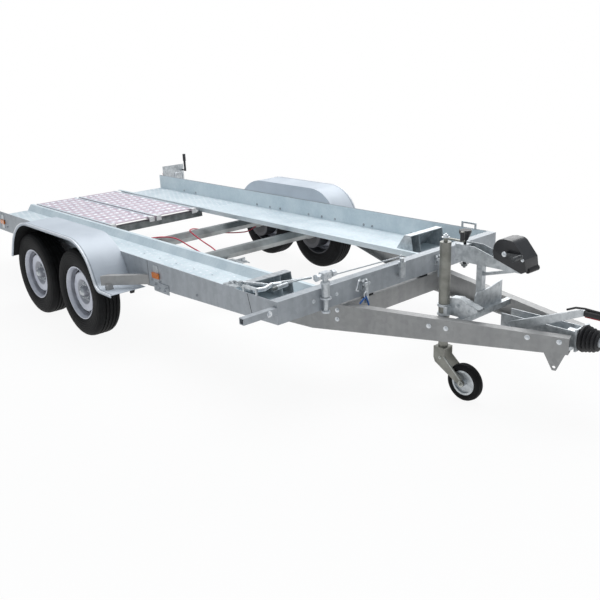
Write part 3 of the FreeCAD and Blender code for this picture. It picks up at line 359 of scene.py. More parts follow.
def drawbar_bolts(shape):
    """Heads on the outer faces of both drawbar beams, which spread to the rear."""
    for x, z in (
        (1.243, 0.402), (1.242, 0.350), (1.741, 0.392), (1.827, 0.392), (2.210, 0.411),
        (2.350, 0.411), (0.25, 0.372),
    ):
        reach = 0.108 + (2.392 - x) * math.tan(beam_turn)
        for side in (1, -1):
            outward = (math.sin(beam_turn), side * math.cos(beam_turn), 0)
            bolt(shape, (x, side * reach, z), outward, 0.009)


def front_beam_bolts(shape):
    """Three heads that hold the lock and the brackets, and a bigger one near the right corner."""
    for y, z in ((-0.691, 0.520), (-0.525, 0.519), (0.525, 0.519)):
        bolt(shape, (1.297, y, z), (1, 0, 0), 0.0075)
    bolt(shape, (1.296, -0.985, 0.529), (1, 0, 0), 0.0110)


piece("runway_bolt_heads", "deck", bolt_zinc, runway_bolts)
piece("drawbar_bolt_heads", "drawbar", bright_zinc, drawbar_bolts)
piece("front_beam_bolt_heads", "deck", bright_zinc, front_beam_bolts)

# Side beams: each is bolted together from pressed lengths of sheet, so a dark joint shows behind
# the front marker and another near the front. A bolted hanger sits under the marker.

joint_dark = weathered(
    "joint_dark", pale=(0.05, 0.055, 0.06), dark=(0.02, 0.022, 0.025),
    patch=50.0, rough=0.7, metal=0.1,
)
beam_face = 0.9352


def beam_joints(shape):
    """Thin dark strips on the outer face, an upright one and a leaning one."""
    wide = 0.005
    for side in (1, -1):
        face = side * beam_face
        for rear, front, low, high in ((0.086, 0.086, 0.424, 0.574), (1.060, 1.090, 0.470, 0.574)):
            shape.faces.new([
                shape.verts.new((front, face, low)),
                shape.verts.new((front + wide, face, low)),
                shape.verts.new((rear + wide, face, high)),
                shape.verts.new((rear, face, high)),
            ])


def marker_hangers(shape):
    """A plate with four bolts on each side beam."""
    for side in (1, -1):
        inner = side * beam_face
        outer = side * (beam_face + 0.0045)
        near, far = sorted((inner, outer))
        box(shape, (0.150, near, 0.398), (0.312, far, 0.456))
        for x, z in ((0.176, 0.440), (0.212, 0.420), (0.268, 0.418), (0.292, 0.440)):
            bolt(shape, (x, outer, z), (0, side, 0), 0.0075)


piece("beam_joint_lines", "deck", joint_dark, beam_joints)
piece("marker_hangers", "deck", beam_zinc_painted_shade, marker_hangers)

# Fenders: pressed from thin bright sheet, with a crease and a round bead rolled along the outer
# edge to stiffen it. The bead is coloured pale as a painted highlight, the crease is a dark line
# of painted shade, and a black sheet of painted shade lies just under the roof.

fender_sheet = weathered(
    "fender_sheet", pale=(0.56, 0.61, 0.67), dark=(0.50, 0.55, 0.61),
    patch=5.0, rough=0.5, metal=0.1, grain=90.0, relief=0.05,
)
finish_node(fender_sheet, "fenders")
# Painted highlight: the bead is coloured much paler than the sheet for the light along the rolled
# edge.
bead_painted_highlight = weathered(
    "bead_painted_highlight", pale=(0.86, 0.88, 0.92), dark=(0.74, 0.77, 0.81),
    patch=30.0, rough=0.35, metal=0.3,
)
# Painted shade: the crease is drawn as a dark grey line for the shade in it.
crease_painted_shade = weathered(
    "crease_painted_shade", pale=(0.30, 0.33, 0.37), dark=(0.22, 0.25, 0.28),
    patch=30.0, rough=0.5, metal=0.2,
)
# Painted shade: a near-black sheet that stands for the deep shade in the wheel arch.
painted_shade_sheet = weathered(
    "painted_shade_sheet", pale=(0.020, 0.021, 0.022), dark=(0.010, 0.010, 0.011),
    patch=30.0, rough=0.9, metal=0.0,
)


def rounded_path(corners, steps=9):
    """Points along straight runs whose corners (x, z, radius) are rounded."""
    points = [Vector(corners[0][:2])]
    for before, corner, after in zip(corners, corners[1:], corners[2:]):
        middle = Vector(corner[:2])
        arriving = (middle - Vector(before[:2])).normalized()
        leaving = (Vector(after[:2]) - middle).normalized()
        half = arriving.angle(leaving) / 2
        reach = corner[2] * math.tan(half)
        inward = (leaving - arriving).normalized()
        centre = middle + inward * corner[2] / math.cos(half)
        start = middle - arriving * reach - centre
        sweep = arriving.angle_signed(leaving)
        for step in range(steps + 1):
            turn = -sweep * step / steps
            cosine, sine = math.cos(turn), math.sin(turn)
            spoke = Vector((start.x * cosine - start.y * sine, start.x * sine + start.y * cosine))
            points.append(centre + spoke)
    points.append(Vector(corners[-1][:2]))
    return points


fender_line = rounded_path([
    (-1.450, 0.383), (-1.302, 0.676, 0.338), (-0.268, 0.676, 0.288), (-0.140, 0.3955, 0.062),
    (0.034, 0.3955),
])
bead_reach = 1.1745
crease_reach = 1.1610
shade_sheet_reach = (0.942, 1.170)


def hose(name, body, material, points, radius):
    """A round bar that follows a line of points."""
    curve = bpy.data.curves.new(name, "CURVE")
    curve.dimensions = "3D"
    curve.bevel_depth = radius
    curve.bevel_resolution = 3
    curve.use_fill_caps = True
    line = curve.splines.new("POLY")
    line.points.add(len(points) - 1)
    for spot, point in zip(line.points, points):
        spot.co = (*point, 1.0)
    return mounted(name, body, material, curve)


def fender_shade_sheet(side):
    """A black sheet of painted shade just under the fender's roof, which ends before the front
    foot.
    """

    def build(shape):
        path = fender_line[:-4]
        rows = []
        for here, after in zip(path, path[1:]):
            along = (after - here).normalized()
            spot = here + Vector((along.y, -along.x)) * 0.0045
            rows.append([shape.verts.new((spot.x, side * y, spot.y)) for y in shade_sheet_reach])
        for here, after in zip(rows, rows[1:]):
            shape.faces.new((here[0], here[1], after[1], after[0]))

    return build


for side, hand in hands:
    bead = [(point.x, side * bead_reach, point.y) for point in fender_line]
    hose(f"{hand}_fender_bead", "deck", bead_painted_highlight, bead, 0.0045)
    crease = [(point.x, side * crease_reach, point.y) for point in fender_line]
    hose(f"{hand}_fender_crease", "deck", crease_painted_shade, crease, 0.0028)
    piece(f"{hand}_fender_painted_shade", "deck", painted_shade_sheet, fender_shade_sheet(side), True)

# Road wheels: ribbed black rubber tyres sit on pressed steel discs in silver paint, with a ring of
# vents, five wheel bolts and a domed cap on the hub. The vents are dark slots of painted shade,
# and the paint carries painted shade in the well, round the hub and over the whole inner side,
# with a painted highlight on the disc's ridge and lip.

wheel_height = 0.2945
wheel_middle = 1.0675


def radius_from(tree, x, z):
    """The distance from a wheel's centre line, as a socket of a material."""
    spot = tree.nodes.new("ShaderNodeTexCoord").outputs["Object"]
    shift = tree.nodes.new("ShaderNodeVectorMath")
    shift.operation = "SUBTRACT"
    shift.inputs[1].default_value = (x, 0.0, z)
    flat = tree.nodes.new("ShaderNodeVectorMath")
    flat.operation = "MULTIPLY"
    flat.inputs[1].default_value = (1.0, 0.0, 1.0)
    length = tree.nodes.new("ShaderNodeVectorMath")
    length.operation = "LENGTH"
    tree.links.new(spot, shift.inputs[0])
    tree.links.new(shift.outputs["Vector"], flat.inputs[0])
    tree.links.new(flat.outputs["Vector"], length.inputs[0])
    return length.outputs["Value"]


def tyre_rubber(name, centre_x, centre_z):
    """Black rubber with fine moulded rings on the walls."""
    material = weathered(
        name, pale=(0.013, 0.0135, 0.014), dark=(0.007, 0.007, 0.0075),
        patch=20.0, rough=0.62, metal=0.0, grain=260.0, relief=0.15,
    )
    tree = material.node_tree
    shader = tree.nodes["Principled BSDF"]
    shader.inputs["Specular IOR Level"].default_value = 0.12
    rings = tree.nodes.new("ShaderNodeMath")
    rings.operation = "MULTIPLY"
    rings.inputs[1].default_value = 420.0
    wave = tree.nodes.new("ShaderNodeMath")
    wave.operation = "SINE"
    bump = tree.nodes.new("ShaderNodeBump")
    bump.inputs["Strength"].default_value = 0.35
    bump.inputs["Distance"].default_value = 0.002
    tree.links.new(radius_from(tree, centre_x, centre_z), rings.inputs[0])
    tree.links.new(rings.outputs["Value"], wave.inputs[0])
    tree.links.new(wave.outputs["Value"], bump.inputs["Height"])
    tree.links.new(shader.inputs["Normal"].links[0].from_socket, bump.inputs["Normal"])
    tree.links.new(bump.outputs["Normal"], shader.inputs["Normal"])
    return material


def rim_shade_and_highlight(tree, centre_x):
    """Painted shade and painted highlight on the paint from the hub (0) to the rim's edge (1), as
    a socket: dark rings in the well and round the hub, the ridge and the lip kept bright.
    """
    bands = (
        (0.00, 0.60), (0.14, 0.55), (0.17, 0.42), (0.33, 0.50), (0.44, 0.52), (0.50, 0.95),
        (0.70, 1.00), (0.76, 0.55), (0.86, 0.50), (0.91, 0.85), (1.00, 1.00),
    )
    ring_shade = tree.nodes.new("ShaderNodeValToRGB")
    ends = ring_shade.color_ramp.elements
    for end, (position, tone) in zip((ends[0], ends[1]), (bands[0], bands[-1])):
        end.position = position
        end.color = (tone, tone, tone, 1.0)
    for position, tone in bands[1:-1]:
        ends.new(position).color = (tone, tone, tone, 1.0)
    share = tree.nodes.new("ShaderNodeMath")
    share.operation = "DIVIDE"
    share.inputs[1].default_value = 0.18
    tree.links.new(radius_from(tree, centre_x, wheel_height), share.inputs[0])
    tree.links.new(share.outputs["Value"], ring_shade.inputs["Fac"])
    return ring_shade.outputs["Color"]


def inner_side_shade(tree):
    """Painted shade: white on the wheels' outer side and nearly black on their inner side, as a
    socket.
    """
    spot = tree.nodes.new("ShaderNodeTexCoord").outputs["Object"]
    place = tree.nodes.new("ShaderNodeSeparateXYZ")
    out = tree.nodes.new("ShaderNodeMath")
    out.operation = "ABSOLUTE"
    inner_shade_ramp = tree.nodes.new("ShaderNodeMapRange")
    inner_shade_ramp.inputs["From Min"].default_value = 1.060
    inner_shade_ramp.inputs["From Max"].default_value = 1.078
    inner_shade_ramp.inputs["To Min"].default_value = 0.12
    inner_shade_ramp.inputs["To Max"].default_value = 1.0
    tree.links.new(spot, place.inputs["Vector"])
    tree.links.new(place.outputs["Y"], out.inputs[0])
    tree.links.new(out.outputs["Value"], inner_shade_ramp.inputs["Value"])
    return inner_shade_ramp.outputs["Result"]


def wheel_paint(name, centre_x):
    """Silver paint with painted shade in the well, round the hub and over the whole inner side,
    and a painted highlight on the disc's ridge and lip.
    """
    material = weathered(
        name, pale=(0.76, 0.78, 0.86), dark=(0.64, 0.66, 0.74),
        patch=25.0, rough=0.35, metal=0.2, grain=200.0, relief=0.05,
    )
    tree = material.node_tree
    shader = tree.nodes["Principled BSDF"]
    paint = shader.inputs["Base Color"].links[0].from_socket
    rim_shaded = mixed(tree, "MULTIPLY", 1.0, paint, rim_shade_and_highlight(tree, centre_x))
    inner_shaded = mixed(tree, "MULTIPLY", 1.0, rim_shaded, inner_side_shade(tree))
    tree.links.new(inner_shaded, shader.inputs["Base Color"])
    return material


def lathe(shape, section, centre, axis, steps):
    """Spins a closed section of points once round an axis."""
    outline = [shape.verts.new(point) for point in section]
    edges = [shape.edges.new(pair) for pair in zip(outline, outline[1:] + outline[:1])]
    bmesh.ops.spin(
        shape, geom=outline + edges, cent=centre, axis=axis, angle=2 * math.pi, steps=steps,
        use_merge=True,
    )


def tyre_profile():
    """Points (radius, distance from the middle) from one bead over the tread to the other."""
    wall = [
        (0.1690, 0.0605), (0.1760, 0.0660), (0.1900, 0.0730), (0.2150, 0.0795), (0.2450, 0.0805),
        (0.2600, 0.0790), (0.2720, 0.0755), (0.2810, 0.0705), (0.2870, 0.0640), (0.2910, 0.0560),
        (0.2932, 0.0470),
    ]
    tread = []
    for groove in (0.0370, 0.0125):
        tread += [
            (0.2938, groove + 0.0045), (0.2880, groove + 0.0035),
            (0.2880, groove - 0.0035), (0.2943, groove - 0.0045),
        ]
    half = wall + tread
    return half + [(radius, -out) for radius, out in reversed(half)]


def ribbed_tyre(x, side):
    """A tyre with four grooves round its tread."""

    def build(shape):
        section = [
            (x + radius, side * (wheel_middle + out), wheel_height)
            for radius, out in tyre_profile()
        ]
        lathe(shape, section, (x, 0.0, wheel_height), (0, 1, 0), 96)

    return build


def wheel_vents(x, side):
    """Ten dark slots in a ring on the slope of the disc, painted shade for the shade seen in the
    vents.
    """

    def build(shape):
        for number in range(10):
            turn = math.radians(84 + 36 * number)
            spoke = Vector((math.cos(turn), 0.0, math.sin(turn)))
            along = Vector((-math.sin(turn), 0.0, math.cos(turn)))
            face = (spoke * 0.66 + Vector((0.0, side * 0.75, 0.0))).normalized()
            axes = Matrix((along, face.cross(along), face)).transposed().to_4x4()
            middle = Vector((x, side * 1.0970, wheel_height)) + spoke * 0.1392
            size = Matrix.Diagonal((0.044, 0.018, 0.004, 1.0))
            placed = Matrix.Translation(middle) @ axes @ size
            bmesh.ops.create_cube(shape, size=1.0, matrix=placed)
        soften(shape, 0.0012)

    return build


def wheel_bolts(x, side):
    """Five bolts round the hub, and its cap."""
    bolt_circle = 0.054

    def build(shape):
        for number in range(5):
            turn = math.pi / 2 + number * math.pi * 2 / 5
            across = x + bolt_circle * math.cos(turn)
            up = wheel_height + bolt_circle * math.sin(turn)
            bolt(shape, (across, side * 1.0885, up), (0, side, 0), 0.0115)
        collar(shape, (x, side * 1.1225, wheel_height), (0, side, 0), 28, 0.0245, 0.015, 0.012)

    return build


vent_painted_shade = weathered(
    "vent_painted_shade", pale=(0.02, 0.02, 0.024), dark=(0.010, 0.010, 0.012),
    patch=60.0, rough=0.8, metal=0.0,
)
for x, row in ((-0.473, "front"), (-1.143, "rear")):
    rubber = tyre_rubber(f"{row}_tyre_rubber", x, wheel_height)
    silver = wheel_paint(f"{row}_wheel_paint", x)
    for side, hand in hands:
        body = f"{hand}_{row}_wheel_body"
        tyre = piece(f"{hand}_{row}_ribbed_tyre", body, rubber, ribbed_tyre(x, side), True)
        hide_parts(f"{hand}_{row}_tyre")
        finish_node(silver, f"{hand}_{row}_wheel")
        piece(f"{hand}_{row}_vents", body, vent_painted_shade, wheel_vents(x, side))
        piece(f"{hand}_{row}_wheel_bolts", body, fitting_zinc, wheel_bolts(x, side))

# Axles: grey hexagonal steel tubes under the runways. Red plastic sheaths of the brake cables run
# over the rear one, and a black rubber clip holds a wire under each front fender bracket.

axle_zinc = weathered(
    "axle_zinc", pale=(0.40, 0.42, 0.42), dark=(0.20, 0.21, 0.21),
    patch=6.0, rough=0.32, metal=0.6,
)
finish_node(axle_zinc, "front_axle", "rear_axle")
cable_red = weathered(
    "cable_red", pale=(0.55, 0.035, 0.075), dark=(0.42, 0.025, 0.05),
    patch=20.0, rough=0.35, metal=0.0, grain=300.0, relief=0.05,
)
finish_node(cable_red, "left_brake_cable", "right_brake_cable")
clip_black = weathered(
    "clip_black", pale=(0.03, 0.03, 0.032), dark=(0.015, 0.015, 0.016),
    patch=80.0, rough=0.6, metal=0.0,
)


def cable_clips(shape):
    """A block under each bracket and a narrower one below it."""
    for side in (1, -1):
        near, far = sorted((side * 0.990, side * 1.018))
        box(shape, (-0.030, near, 0.376), (0.004, far, 0.394))
        box(shape, (-0.018, near, 0.362), (-0.004, far, 0.376))
    soften(shape, 0.002)


piece("cable_clips", "deck", clip_black, cable_clips)

# Amber reflectors and rear lamps: ribbed plastic lenses over a bright backing, screwed to plates.
# Each rear lamp has an amber window beside the red and a bent wire guard.


def lens(name, bright, deep):
    """Coloured plastic with fine upright ribs."""
    material = weathered(
        name, bright, deep, patch=60.0, rough=0.18, metal=0.0, grain=400.0, relief=0.02
    )
    tree = material.node_tree
    shader = tree.nodes["Principled BSDF"]
    shader.inputs["Coat Weight"].default_value = 0.6
    shader.inputs["Coat Roughness"].default_value = 0.05
    ribs = tree.nodes.new("ShaderNodeTexWave")
    ribs.bands_direction = "X"
    ribs.inputs["Scale"].default_value = 60.0
    spot = tree.nodes.new("ShaderNodeTexCoord").outputs["Object"]
    bump = tree.nodes.new("ShaderNodeBump")
    bump.inputs["Strength"].default_value = 0.3
    bump.inputs["Distance"].default_value = 0.002
    tree.links.new(spot, ribs.inputs["Vector"])
    tree.links.new(ribs.outputs["Fac"], bump.inputs["Height"])
    tree.links.new(bump.outputs["Normal"], shader.inputs["Normal"])
    return material


finish_node(lens("amber_lens", (0.80, 0.22, 0.015), (0.66, 0.15, 0.01)), "side_markers")
finish_node(lens("red_lens", (0.50, 0.012, 0.012), (0.36, 0.008, 0.008)), "rear_lamps")
amber_window = lens("amber_window", (0.80, 0.24, 0.02), (0.6, 0.16, 0.01))


def lamp_windows(shape):
    """A thin window over the inner third of each rear lamp."""
    for side in (1, -1):
        near, far = sorted((side * 0.965, side * 1.020))
        box(shape, (-2.7225, near, 0.496), (-2.7185, far, 0.586))
    soften(shape, 0.0015)


piece("lamp_amber_windows", "deck", amber_window, lamp_windows)
for side, hand in hands:
    corners = ((1.074, 0.510), (1.074, 0.584), (1.170, 0.584), (1.170, 0.510))
    guard = [(-2.672, side * y, z) for y, z in corners]
    hose(f"{hand}_lamp_guard", "deck", bright_zinc, guard, 0.004)

# Clamp handles, arm knob, bellows and brake grip: the handles and the knob are moulded in hard
# black plastic, the others in soft black rubber.

moulded_black = weathered(
    "moulded_black", pale=(0.036, 0.036, 0.040), dark=(0.020, 0.020, 0.023),
    patch=30.0, rough=0.48, metal=0.0, grain=500.0, relief=0.15,
)
finish_node(moulded_black, "left_clamp_handle", "right_clamp_handle", "arm_knob")
soft_black = weathered(
    "soft_black", pale=(0.024, 0.024, 0.026), dark=(0.013, 0.013, 0.015),
    patch=40.0, rough=0.62, metal=0.0, grain=260.0, relief=0.25,
)
finish_node(soft_black, "rest_pads", "rubber_bellows", "brake_lever_grip")

# Winch: a black plastic cover with rounded edges is screwed over the drum. A soft roller leads the
# strap out of its nose, and the steel crank is painted black.

cover_plastic = weathered(
    "cover_plastic", pale=(0.030, 0.031, 0.035), dark=(0.018, 0.018, 0.021),
    patch=12.0, rough=0.36, metal=0.0, grain=420.0, relief=0.2,
)
crank_black = weathered(
    "crank_black", pale=(0.10, 0.105, 0.11), dark=(0.03, 0.032, 0.035),
    patch=60.0, rough=0.4, metal=0.5,
)
finish_node(crank_black, "winch_crank")
cover_half = 0.057


def winch_shell(shape):
    """The cover's side outline, drawn out across the winch, with softened rims on both sides."""
    outline = rounded_path([
        (1.932, 0.727), (1.922, 0.834, 0.058), (2.040, 0.831, 0.046), (2.108, 0.750, 0.012),
        (2.118, 0.690, 0.010), (2.090, 0.675),
    ], 6)
    near = [shape.verts.new((point.x, -cover_half, point.y)) for point in outline]
    far = [shape.verts.new((point.x, cover_half, point.y)) for point in outline]
    caps = [shape.faces.new(near), shape.faces.new(far[::-1])]
    for corners in zip(near, far, far[1:] + far[:1], near[1:] + near[:1]):
        shape.faces.new(corners)
    soften(shape, 0.006, [edge for face in caps for edge in face.edges], 3, 0.5)


def winch_side_bolt(shape):
    bolt(shape, (2.097, -0.058, 0.746), (0, -1, 0), 0.006)


def crank_bolt(shape):
    bolt(shape, (2.011, -0.084, 0.767), (0, -1, 0), 0.009)


def knob_nut(shape):
    bolt(shape, (1.722, 0.0, 0.652), (0, 0, -1), 0.017)


cover = piece("winch_housing", "drawbar", cover_plastic, winch_shell, True)
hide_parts("winch_cover")
roller = [(2.110, -0.030, 0.690), (2.112, 0.055, 0.690)]
hose("winch_strap_roller", "drawbar", soft_black, roller, 0.015)
piece("winch_side_bolt", "drawbar", bright_zinc, winch_side_bolt)
piece("winch_crank_bolt", "winch_crank_body", bright_zinc, crank_bolt)
piece("arm_knob_nut", "arm_knob_body", dark_zinc_and_painted_shade, knob_nut)

# Jockey wheel: olive-grey plated steel tubes slide in each other above a folded fork with a small
# black tyre. A cast clamp with two rings and an open jaw holds the outer tube to the drawbar.

mast_x, mast_y = 1.760, -0.215
tube_zinc = weathered(
    "tube_zinc", pale=(0.30, 0.30, 0.27), dark=(0.19, 0.19, 0.17),
    patch=18.0, rough=0.4, metal=0.5,
)
fork_bright = weathered(
    "fork_bright", pale=(0.60, 0.61, 0.58), dark=(0.42, 0.43, 0.40),
    patch=40.0, rough=0.32, metal=0.5,
)
finish_node(tube_zinc, "jockey_outer_tube", "jockey_inner_tube", "jockey_fork", "jockey_crank")
finish_node(tyre_rubber("jockey_rubber", 1.904, 0.1), "jockey_tyre")
finish_node(fitting_zinc, "jockey_rim")


def slab(shape, corners, thickness):
    """A flat plate: a face through its corners, drawn out along Y."""
    face = shape.faces.new([shape.verts.new(corner) for corner in corners])
    drawn = bmesh.ops.extrude_face_region(shape, geom=[face], use_keep_orig=True)["geom"]
    moved = [item for item in drawn if isinstance(item, bmesh.types.BMVert)]
    bmesh.ops.translate(shape, verts=moved, vec=(0.0, thickness, 0.0))


def clamp_casting(shape):
    """Two rings round the tube, and in front of them two cheeks under a lid, with their bolts."""
    inner, outer, half = 0.0287, 0.0350, 0.0065
    for z in (0.4405, 0.4875):
        section = [
            (mast_x + reach, mast_y, z + high)
            for reach, high in ((inner, -half), (outer, -half), (outer, half), (inner, half))
        ]
        lathe(shape, section, (mast_x, mast_y, z), (0, 0, 1), 32)
    right_face, left_face, cheek, lid = -0.205, -0.150, 0.007, 0.006
    jaw = (
        (1.786, 0.4345), (1.786, 0.526), (1.838, 0.531), (1.955, 0.496), (1.955, 0.484),
        (1.880, 0.4345),
    )
    for near in (right_face, left_face - cheek):
        slab(shape, [(x, near, z) for x, z in jaw], cheek)
    for start, end in (jaw[1:3], jaw[2:4]):
        rim = (start, end, (end[0], end[1] - lid), (start[0], start[1] - lid))
        rows = [[shape.verts.new((x, y, z)) for y in (right_face, left_face)] for x, z in rim]
        for here, after in zip(rows, rows[1:] + rows[:1]):
            shape.faces.new((here[0], here[1], after[1], after[0]))
    box(shape, (1.780, -0.246, 0.440), (1.800, -0.184, 0.488))
    bolt(shape, (1.836, right_face, 0.492), (0, -1, 0), 0.010)
    bolt(shape, (1.902, right_face, 0.478), (0, -1, 0), 0.007)


def fork_bolts(shape):
    bolt(shape, (1.904, -0.255, 0.100), (0, -1, 0), 0.011)
    bolt(shape, (1.768, -0.250, 0.206), (0, -1, 0), 0.006)


def spindle_head(shape):
    bolt(shape, (mast_x, mast_y, 0.838), (0, 0, 1), 0.014)


casting = piece("jockey_clamp_casting", "drawbar", fitting_zinc, clamp_casting, True)
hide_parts("jockey_clamp")
piece("jockey_fork_bolts", "jockey_swivel", fork_bright, fork_bolts)
flange = [(1.792, -0.2505, 0.216), (1.846, -0.2505, 0.166), (1.897, -0.2505, 0.118)]
hose("jockey_fork_flange", "jockey_swivel", fork_bright, flange, 0.0035)
piece("jockey_spindle_head", "jockey_screw", bright_zinc, spindle_head)
grip_line = [(1.858, mast_y, 0.832), (1.858, mast_y, 0.879)]
hose("jockey_crank_grip", "jockey_screw", moulded_black, grip_line, 0.0105)

# Brake lever: pressed from thick steel sheet. A black guard rod runs above it into the rubber
# grip, and a red strip lines the grip's underside.

lever_y = -0.065
grip_red = weathered(
    "grip_red", pale=(0.50, 0.012, 0.02), dark=(0.36, 0.008, 0.014),
    patch=60.0, rough=0.4, metal=0.0,
)
guard_rod = [
    (2.346, lever_y, 0.556), (2.388, lever_y, 0.575), (2.432, lever_y, 0.580),
    (2.505, lever_y, 0.577),
]
hose("lever_guard_rod", "lever_body", soft_black, guard_rod, 0.005)
strip = [(2.437, lever_y, 0.5445), (2.516, lever_y, 0.5445)]
hose("lever_red_strip", "lever_body", grip_red, strip, 0.0055)

# Deck lock: a steel T-headed screw with a clamp block and hexagon ends turns in a sleeve that is
# welded to the front beam. Its plated rods end in nuts and sleeves on the right side beam.

lock_x, lock_y = 1.322, -0.628


def lock_head_parts(shape):
    """Hexagons at both ends of the T head, the block in its middle and the nut at its foot."""
    for y in (lock_y - 0.056, lock_y + 0.056):
        collar(shape, (lock_x, y, 0.650), (0, 1, 0), 6, 0.021, 0.019, 0.026)
    box(shape, (lock_x - 0.020, lock_y - 0.028, 0.633), (lock_x + 0.020, lock_y + 0.028, 0.669))
    collar(shape, (lock_x, lock_y, 0.455), (0, 0, 1), 24, 0.024, 0.022, 0.010)
    soften(shape, 0.0015)


def lock_flanges(shape):
    """The rims at the sleeve's foot and top."""
    for z, wide in ((0.530, 0.031), (0.612, 0.027)):
        collar(shape, (lock_x, lock_y, z), (0, 0, 1), 28, wide, wide - 0.002, 0.008)


def lock_rod_nuts(shape):
    """Two nuts on the side beam, the bigger one on a plate."""
    bolt(shape, (1.000, -0.885, 0.577), (0, 0, 1), 0.016)
    bolt(shape, (0.880, -0.905, 0.583), (0, 0, 1), 0.010)
    box(shape, (0.985, -0.918, 0.577), (1.062, -0.872, 0.589))


piece("lock_head_parts", "lock_screw_body", bright_zinc, lock_head_parts)
piece("lock_sleeve_flanges", "deck", bright_zinc, lock_flanges)
piece("lock_rod_nuts", "deck", fitting_zinc, lock_rod_nuts)
hook = ((0.862, -0.868, 0.583), (0.90, -0.885, 0.594), (0.945, -0.880, 0.588))
lug = ((1.085, -0.915, 0.588), (1.118, -0.862, 0.592), (1.098, -0.800, 0.597))
knob = ((1.150, -0.840, 0.590), (1.151, -0.815, 0.591))
tube = ((1.150, -0.812, 0.592), (1.149, -0.738, 0.594))
upper_rod = ((1.098, -0.800, 0.600), (1.205, -0.615, 0.612))
hose("lock_rod_hook", "deck", fitting_zinc, hook, 0.005)
hose("lock_rod_lug", "deck", bright_zinc, lug, 0.012)
hose("lock_rod_knob", "deck", dark_zinc_and_painted_shade, knob, 0.013)
hose("lock_rod_tube", "deck", fitting_zinc, tube, 0.012)
hose("lock_rod_upper", "deck", fitting_zinc, upper_rod, 0.007)

# Latches: on each side an over-centre lever on the front beam, bolted to a small plate, with a
# bent steel wire, a ring and two blue woven straps to pull it by.

latch_blue = weathered(
    "latch_blue", pale=(0.03, 0.15, 0.48), dark=(0.02, 0.10, 0.36),
    patch=40.0, rough=0.45, metal=0.0,
)


def latch_ring(side):
    """A round ring that hangs across the trailer."""
    ring_radius, wire_radius = 0.016, 0.0035

    def build(shape):
        centre = Vector((1.332, side * 0.336, 0.476))
        section = []
        for number in range(8):
            turn = number * math.pi / 4
            out = ring_radius + wire_radius * math.cos(turn)
            section.append(centre + Vector((wire_radius * math.sin(turn), out, 0.0)))
        lathe(shape, section, centre, (1, 0, 0), 20)

    return build


def latch_bolts(side):
    """Two heads above the lever's pin and one below it."""

    def build(shape):
        for y, z in ((0.334, 0.546), (0.306, 0.546), (0.320, 0.502)):
            bolt(shape, (1.307, side * y, z), (1, 0, 0), 0.006)

    return build


for side, hand in hands:
    body = f"{hand}_latch_body"
    wire = [
        (1.312, side * 0.345, 0.548), (1.318, side * 0.372, 0.568), (1.320, side * 0.386, 0.548),
        (1.321, side * 0.402, 0.512), (1.318, side * 0.380, 0.505),
    ]
    hose(f"{hand}_latch_wire", "deck", bright_zinc, wire, 0.004)
    for number, (out, low) in enumerate(((0.386, 0.438), (0.316, 0.412))):
        strap = [
            (1.331, side * 0.337, 0.464),
            (1.333, side * (0.337 + out) / 2, (0.462 + low) / 2 + 0.004),
            (1.333, side * out, low),
        ]
        hose(f"{hand}_latch_strap_{number}", body, latch_blue, strap, 0.0055)
    piece(f"{hand}_latch_ring", body, bright_zinc, latch_ring(side), True)
    piece(f"{hand}_latch_bolts", "deck", bright_zinc, latch_bolts(side))

# Floor and backdrop: a pale studio floor that keeps a soft shadow near the trailer and runs out
# to plain white further off.


def studio_paper():
    """Paper that shades like a matt sheet, and is seen as a mix of that and pure white."""
    paper = bpy.data.materials.new("studio_paper")
    paper.use_nodes = True
    tree = paper.node_tree
    shader = tree.nodes["Principled BSDF"]
    shader.inputs["Base Color"].default_value = (0.82, 0.82, 0.82, 1.0)
    shader.inputs["Roughness"].default_value = 0.9
    white = tree.nodes.new("ShaderNodeEmission")
    white.inputs["Color"].default_value = (1.0, 1.0, 1.0, 1.0)
    white.inputs["Strength"].default_value = 1.0
    path = tree.nodes.new("ShaderNodeLightPath")
    seen = tree.nodes.new("ShaderNodeMath")
    seen.operation = "MAXIMUM"
    spot = tree.nodes.new("ShaderNodeTexCoord").outputs["Object"]
    far_off = tree.nodes.new("ShaderNodeVectorMath")
    far_off.operation = "LENGTH"
    whiter = tree.nodes.new("ShaderNodeMapRange")
    whiter.inputs["From Min"].default_value = 2.4
    whiter.inputs["From Max"].default_value = 4.2
    whiter.inputs["To Min"].default_value = 0.92
    whiter.inputs["To Max"].default_value = 1.0
    share = tree.nodes.new("ShaderNodeMath")
    share.operation = "MULTIPLY"
    blend = tree.nodes.new("ShaderNodeMixShader")
    tree.links.new(spot, far_off.inputs[0])
    tree.links.new(far_off.outputs["Value"], whiter.inputs["Value"])
    tree.links.new(path.outputs["Is Camera Ray"], seen.inputs[0])
    tree.links.new(path.outputs["Is Glossy Ray"], seen.inputs[1])
    tree.links.new(seen.outputs["Value"], share.inputs[0])
    tree.links.new(whiter.outputs["Result"], share.inputs[1])
    tree.links.new(share.outputs["Value"], blend.inputs["Fac"])
    tree.links.new(shader.outputs["BSDF"], blend.inputs[1])
    tree.links.new(white.outputs["Emission"], blend.inputs[2])
    tree.links.new(blend.outputs["Shader"], tree.nodes["Material Output"].inputs["Surface"])
    return paper


floor_shape = bmesh.new()
box(floor_shape, (-40.0, -40.0, -0.02), (40.0, 40.0, 0.0))
floor_mesh = bpy.data.meshes.new("studio_floor")
floor_shape.to_mesh(floor_mesh)
floor_shape.free()
floor_mesh.materials.append(studio_paper())
floor = bpy.data.objects.new("studio_floor", floor_mesh)
bpy.context.scene.collection.objects.link(floor)

# Light: an overcast sky that is seen as plain white, a wide soft lamp overhead and a weaker one
# from the far side.

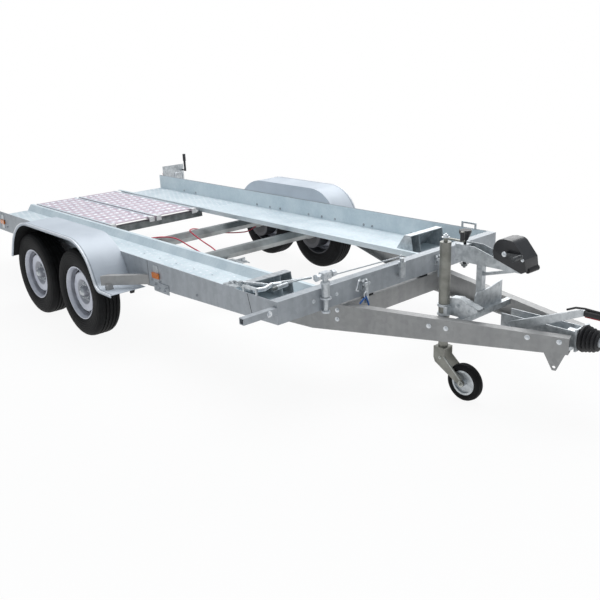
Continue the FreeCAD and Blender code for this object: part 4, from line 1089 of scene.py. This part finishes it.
world = bpy.data.worlds.new("overcast")
bpy.context.scene.world = world
world.use_nodes = True
sky = world.node_tree
sky_light = sky.nodes["Background"]
sky_light.inputs["Color"].default_value = (0.90, 0.95, 1.0, 1.0)
sky_light.inputs["Strength"].default_value = 0.47
sky_white = sky.nodes.new("ShaderNodeBackground")
sky_white.inputs["Color"].default_value = (1.0, 1.0, 1.0, 1.0)
sky_white.inputs["Strength"].default_value = 1.0
sky_path = sky.nodes.new("ShaderNodeLightPath")
sky_blend = sky.nodes.new("ShaderNodeMixShader")
sky.links.new(sky_path.outputs["Is Camera Ray"], sky_blend.inputs["Fac"])
sky.links.new(sky_light.outputs["Background"], sky_blend.inputs[1])
sky.links.new(sky_white.outputs["Background"], sky_blend.inputs[2])
sky.links.new(sky_blend.outputs["Shader"], sky.nodes["World Output"].inputs["Surface"])

for name, place, aim, size, power in (
    ("overhead", (-0.5, 1.0, 6.0), (0.0, 0.0, 0.3), 5.0, 310.0),
    ("far_side", (-2.0, 6.0, 3.5), (0.0, 0.0, 0.4), 4.0, 120.0),
):
    lamp_data = bpy.data.lights.new(name, "AREA")
    lamp_data.shape = "SQUARE"
    lamp_data.size = size
    lamp_data.energy = power
    lamp = bpy.data.objects.new(name, lamp_data)
    bpy.context.scene.collection.objects.link(lamp)
    facing = (Vector(aim) - Vector(place)).to_track_quat("-Z", "Y")
    lamp.matrix_world = Matrix.Translation(place) @ facing.to_matrix().to_4x4()

# Camera: it stands ahead of the trailer on its right, at eye height, turned and tipped a little
# as in the photograph.

camera_place = (3.9376, -3.1273, 1.7404)
yaw, pitch, roll = math.radians(48.413), math.radians(18.606), math.radians(-2.301)
forward = Vector((
    -math.sin(yaw) * math.cos(pitch), math.cos(yaw) * math.cos(pitch), -math.sin(pitch),
))
level = Vector((math.cos(yaw), math.sin(yaw), 0.0))
upright = level.cross(forward)
right = math.cos(roll) * level + math.sin(roll) * upright
up = math.cos(roll) * upright - math.sin(roll) * level
camera_data = bpy.data.cameras.new("camera")
camera_data.sensor_width = 36.0
camera_data.lens = 44.451
camera_data.clip_end = 200.0
camera = bpy.data.objects.new("camera", camera_data)
bpy.context.scene.collection.objects.link(camera)
turned = Matrix((right, up, -forward)).transposed().to_4x4()
camera.matrix_world = Matrix.Translation(camera_place) @ turned
bpy.context.scene.camera = camera
bpy.context.scene.view_settings.view_transform = "Standard"
